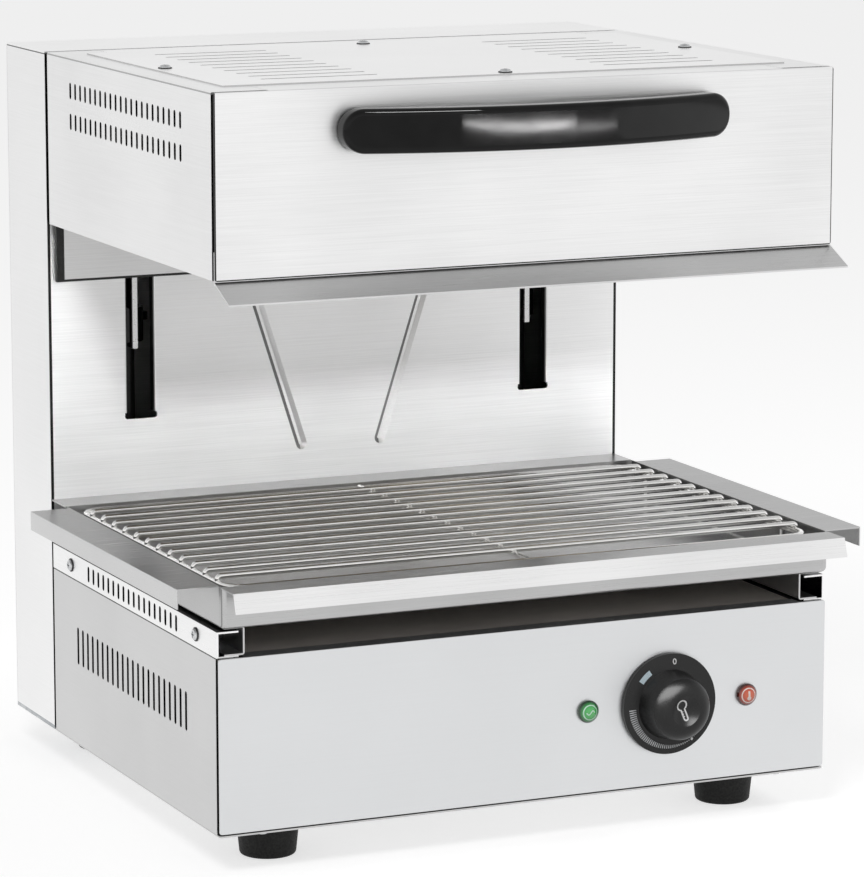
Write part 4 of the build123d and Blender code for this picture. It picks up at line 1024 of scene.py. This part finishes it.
dish_bulb = (knob_middle[0] - 2.4 * MM, knob_middle[1] + 4.1 * MM)
dish_tip = (knob_middle[0] + 1.5 * MM, knob_middle[1] - 6.9 * MM)
white_patches += stroke(thermometer(dish_bulb, dish_tip, 3.7 * MM, 1.5 * MM), 1.1 * MM, closed=True)
way = (Vector(dish_tip) - Vector(dish_bulb)).normalized()
side = Vector((-way.y, way.x))
for mark in (5.0, 6.8, 8.6):
    base = Vector(dish_bulb) + way * mark * MM
    white_patches += stroke([tuple(base - side * 1.1 * MM), tuple(base - side * 0.1 * MM)], 0.6 * MM)
printed("dial_marks", "knob", white_patches, mark_white, "knob")
blue_patches = sector(knob_middle, 27.4 * MM, 31.4 * MM, 33.0, 53.0, 12, 3)
printed("dial_field", "knob", blue_patches, mark_blue, "knob")

# %% [markdown]
# ## The dial's scale
# The scale is a fan of short bars that grow shorter from one end to the other. That is a rule, so a
# tree makes it: each bar's number gives its angle and its length, and the slope of the skirt its lean.

# %% Scale tree
scale_tree, size = start_tree(
    "dial_scale",
    bars=42,
    first=1.64,
    last=3.80,
    outer=scale_radius * MM,
    longest=5.0 * MM,
    width=0.8 * MM,
    lean=0.0,
)
number = scale_tree.nodes.new("GeometryNodeInputIndex")
part = calc("DIVIDE", number, calc("SUBTRACT", size["bars"], 1.0))
sweep_angle = calc("SUBTRACT", size["last"], size["first"])
turn = calc("ADD", calc("MULTIPLY", sweep_angle, part), size["first"])
left_share = calc("SUBTRACT", 1.04, calc("POWER", part, 1.7))
bar_length = calc("MULTIPLY", size["longest"], left_share)
bar_radius = calc("SUBTRACT", size["outer"], calc("MULTIPLY", bar_length, 0.5))
inwards = calc("SUBTRACT", bar_radius, size["outer"])
bar_x = calc("MULTIPLY", calc("MULTIPLY", calc("SINE", turn), -1.0), bar_radius)
bar_y = calc("MULTIPLY", inwards, calc("TANGENT", size["lean"]))
bar_z = calc("MULTIPLY", calc("COSINE", turn), bar_radius)
bar_place = join_xyz(bar_x, bar_y, bar_z)
bar_dots = add_node(scale_tree, "GeometryNodePoints", Count=size["bars"], Position=bar_place)
block_size = join_xyz(size["width"], 0.3 * MM, 1.0)
block = add_node(scale_tree, "GeometryNodeMeshCube", Size=block_size)
bar_turn = join_xyz(calc("MULTIPLY", size["lean"], -1.0), calc("MULTIPLY", turn, -1.0), 0.0)
bar_size = join_xyz(1.0, 1.0, bar_length)
fan = scatter(bar_dots, block, turn=bar_turn, scale=bar_size)
end_tree(scatter(size["Geometry"], fan), scale_grey)
print("scale tree nodes:", len(scale_tree.nodes))

# %% Dial scale
inner_radius = 28.0
bar_sink = 0.09 * MM
knob_skin = surface_of("knob")
depths = [front_depth(knob_skin, *on_dial(radius, 150.0)) for radius in (scale_radius, inner_radius)]
skirt_lean = math.atan2(depths[0] - depths[1], (scale_radius - inner_radius) * MM)
scale_middle = (knob_middle[0], depths[0] + bar_sink, knob_middle[1])
dial_scale = bake_tree("dial_scale", scale_tree, [scale_middle], lean=skirt_lean)
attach(dial_scale, "knob")

# %% [markdown]
# ## Signs on the lamps
# The green lamp shows a wave in a ring, the red one a thermometer in a ring, as common signs for power
# and heat. They are drawn and laid on the domes in the same way as the knob's prints.

# %% Lamp signs
mint_print = printing_ink("mint_print", (0.55, 0.84, 0.64), (0.68, 0.93, 0.77), 0.3)
rose_print = printing_ink("rose_print", (0.93, 0.76, 0.70), (0.98, 0.86, 0.81), 0.3)


def lamp_ring(node_name):
    """The middle of a lens in the front view, and the patches of the ring round its sign."""
    low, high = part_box(node_name)
    middle = ((low.x + high.x) / 2, (low.z + high.z) / 2)
    return middle, sector(middle, 4.9 * MM, 5.7 * MM, 0.0, 360.0, 36, 1)


green_middle, green_patches = lamp_ring("green_lens")
wave_half = 3.2 * MM
wave_steps = 20
wave = []
for step in range(wave_steps + 1):
    x = -wave_half + 2 * wave_half * step / wave_steps
    wave.append((green_middle[0] + x, green_middle[1] + 1.4 * MM * math.sin(x / wave_half * math.pi)))
green_patches += stroke(wave, 0.9 * MM)
printed("power_sign", "green_lens", green_patches, mint_print, "base")

red_middle, red_patches = lamp_ring("red_lens")
red_bulb = (red_middle[0], red_middle[1] - 1.9 * MM)
red_patches += sector(red_bulb, 0.02 * MM, 1.6 * MM, 0.0, 360.0, 16, 2)
lane_width = 0.55
for lane in (-lane_width, 0.0, lane_width):
    lane_x = red_middle[0] + lane * MM
    stem = [(lane_x, red_middle[1] + (-lane_width + lane_width * step) * MM) for step in range(8)]
    red_patches += stroke(stem, lane_width * MM)
printed("heat_sign", "red_lens", red_patches, rose_print, "base")

# %% [markdown]
# ## Light and floor
# A catalogue picture is lit by large soft boxes in a white room. The room is the world: rays from the
# camera, from gloss and through clear plastic see it white, while it lights the object at a lower,
# plain level. Its ceiling is darker, so that the top faces don't burn out. The floor glows a little on
# top of its own diffuse colour, so it reads as white and still keeps the soft shadow under the feet.
# Bright sheet steel would mirror the soft boxes as white patches from some sides, so they are hidden
# from gloss: the steel takes its tones from the room and the floor, and the boxes light what is matt.

# %% World
room_share = 0.6
ceiling_share = 0.5
world = bpy.data.worlds.new("white_room")
scene.world = world
world.use_nodes = True
world_tree = world.node_tree
background = world_tree.nodes["Background"]
rays = world_tree.nodes.new("ShaderNodeLightPath").outputs
seen = calc("MAXIMUM", rays["Is Camera Ray"], rays["Is Glossy Ray"])
seen_or_through = calc("MAXIMUM", seen, rays["Is Transmission Ray"])
room_light = spread(seen_or_through, room_share, 1.0, 0.0, 1.0)
direction = world_tree.nodes.new("ShaderNodeTexCoord").outputs["Generated"]
height = add_node(world_tree, "ShaderNodeSeparateXYZ", Vector=direction).outputs["Z"]
ceiling = spread(height, 1.0, ceiling_share, 0.15, 0.9)
fill(background, Color=(1.0, 1.0, 1.0, 1.0), Strength=calc("MULTIPLY", room_light, ceiling))
print("world:", world.name)

# %% Floor
reach = 30.0
glow_to_eye = 0.64
glow_to_gloss = 0.58
floor_corners = [(-reach, -reach, 0.0), (reach, -reach, 0.0), (reach, reach, 0.0), (-reach, reach, 0.0)]
floor_mesh = bpy.data.meshes.new("floor")
floor_mesh.from_pydata(floor_corners, [], [(0, 1, 2, 3)])
floor = put_in_scene("floor", floor_mesh)
floor_paint, floor_tree, floor_shader = start_material("floor_paint", grey(0.55), 0.9)
fill(floor_shader, Specular_IOR_Level=0.0, Emission_Color=(1.0, 1.0, 1.0, 1.0))
floor_rays = floor_tree.nodes.new("ShaderNodeLightPath").outputs
to_eye = calc("MULTIPLY", floor_rays["Is Camera Ray"], glow_to_eye)
to_gloss = calc("MULTIPLY", floor_rays["Is Glossy Ray"], glow_to_gloss)
fill(floor_shader, Emission_Strength=calc("ADD", to_eye, to_gloss))
floor_mesh.materials.append(floor_paint)
print("floor reaches", reach, "m each way")


# %% Lamps
def soft_box(name, place, target, size, power):
    """A rectangular soft box at a place, turned to a target point."""
    lamp = bpy.data.lights.new(name, "AREA")
    lamp.shape = "RECTANGLE"
    lamp.size, lamp.size_y = size
    lamp.energy = power
    box = put_in_scene(name, lamp)
    box.location = place
    point_along(box, Vector(target) - Vector(place))
    return box


grill_middle = (0.0, 0.0, 0.28)
key_box = soft_box("key_box", (-1.4, -1.7, 2.4), grill_middle, size=(1.0, 0.8), power=30.0)
fill_box = soft_box("fill_box", (2.0, -0.4, 2.2), grill_middle, size=(1.2, 1.2), power=16.0)
for box in (key_box, fill_box):
    box.visible_glossy = False
print("soft boxes:", key_box.name, fill_box.name)

# %% [markdown]
# ## Lamps for single pieces
# Black plastic shows its shape only by what it mirrors, so photographers set thin strip lights for it.
# The same strips would burn out the steel beside it. Light linking keeps them apart: a lamp with a
# receiver collection lights only the pieces in that collection. The strips' places follow from the
# camera: each lies in the mirror direction of the part of the handle that should shine. They are
# ellipses, so that a highlight thins out towards its ends. The knob gets a wide box from above, and a
# weak, narrow beam lifts the lower part of the column's front, which the hood keeps in shadow.


# %% Strip lights for the handle
def only_for(name, node_name):
    """A collection with one CAD node, for lamps that light nothing else."""
    receivers = bpy.data.collections.new(name)
    receivers.objects.link(nodes[node_name])
    return receivers


handle_low, handle_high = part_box("handle")
handle_face = Vector((0.0, handle_low.y, (handle_low.z + handle_high.z) / 2))
to_camera = camera.location - handle_face
mirror_drop = to_camera.z / math.hypot(to_camera.x, to_camera.y)
strip_distance = 1.8
gloss_pieces = only_for("gloss_pieces", "handle")


def strip_light(name, bearing, size, power):
    """A strip in front of the handle at a bearing in degrees, at the height that the handle mirrors."""
    turn = math.radians(bearing)
    place = handle_face + Vector((math.sin(turn), -math.cos(turn), -mirror_drop)) * strip_distance
    strip = soft_box(name, place, handle_face, size, power)
    strip.data.shape = "ELLIPSE"
    strip.light_linking.receiver_collection = gloss_pieces
    print(name, "at", [round(value, 2) for value in strip.location])


strip_light("strip_main", 16.5, size=(0.90, 0.010), power=0.85)
strip_light("strip_tail", 30.0, size=(0.70, 0.010), power=0.22)
strip_light("strip_end", 57.0, size=(1.2, 0.06), power=0.16)
edge_box = soft_box("edge_box", (0.0, -1.4, 2.1), handle_face, size=(0.7, 0.3), power=24.0)
edge_box.light_linking.receiver_collection = gloss_pieces

# %% Lamps for the knob and the column
knob_face = Vector((knob_middle[0], knob_low.y, knob_middle[1]))
dome_place = knob_face + Vector((-0.6, -0.8, 1.05))
dome_box = soft_box("dome_box", dome_place, knob_face, size=(2.6, 1.3), power=115.0)
dome_box.light_linking.receiver_collection = only_for("knob_pieces", "knob")

niche_middle = Vector((-0.05, column_face, grid_high.z + 60.0 * MM))
column_box = soft_box("column_box", (-0.35, -1.8, 0.95), niche_middle, size=(0.9, 0.16), power=0.60)
column_box.data.spread = math.radians(12.0)
column_box.light_linking.receiver_collection = only_for("column_pieces", "column_front")
print("lamps for single pieces:", edge_box.name, dome_box.name, column_box.name)
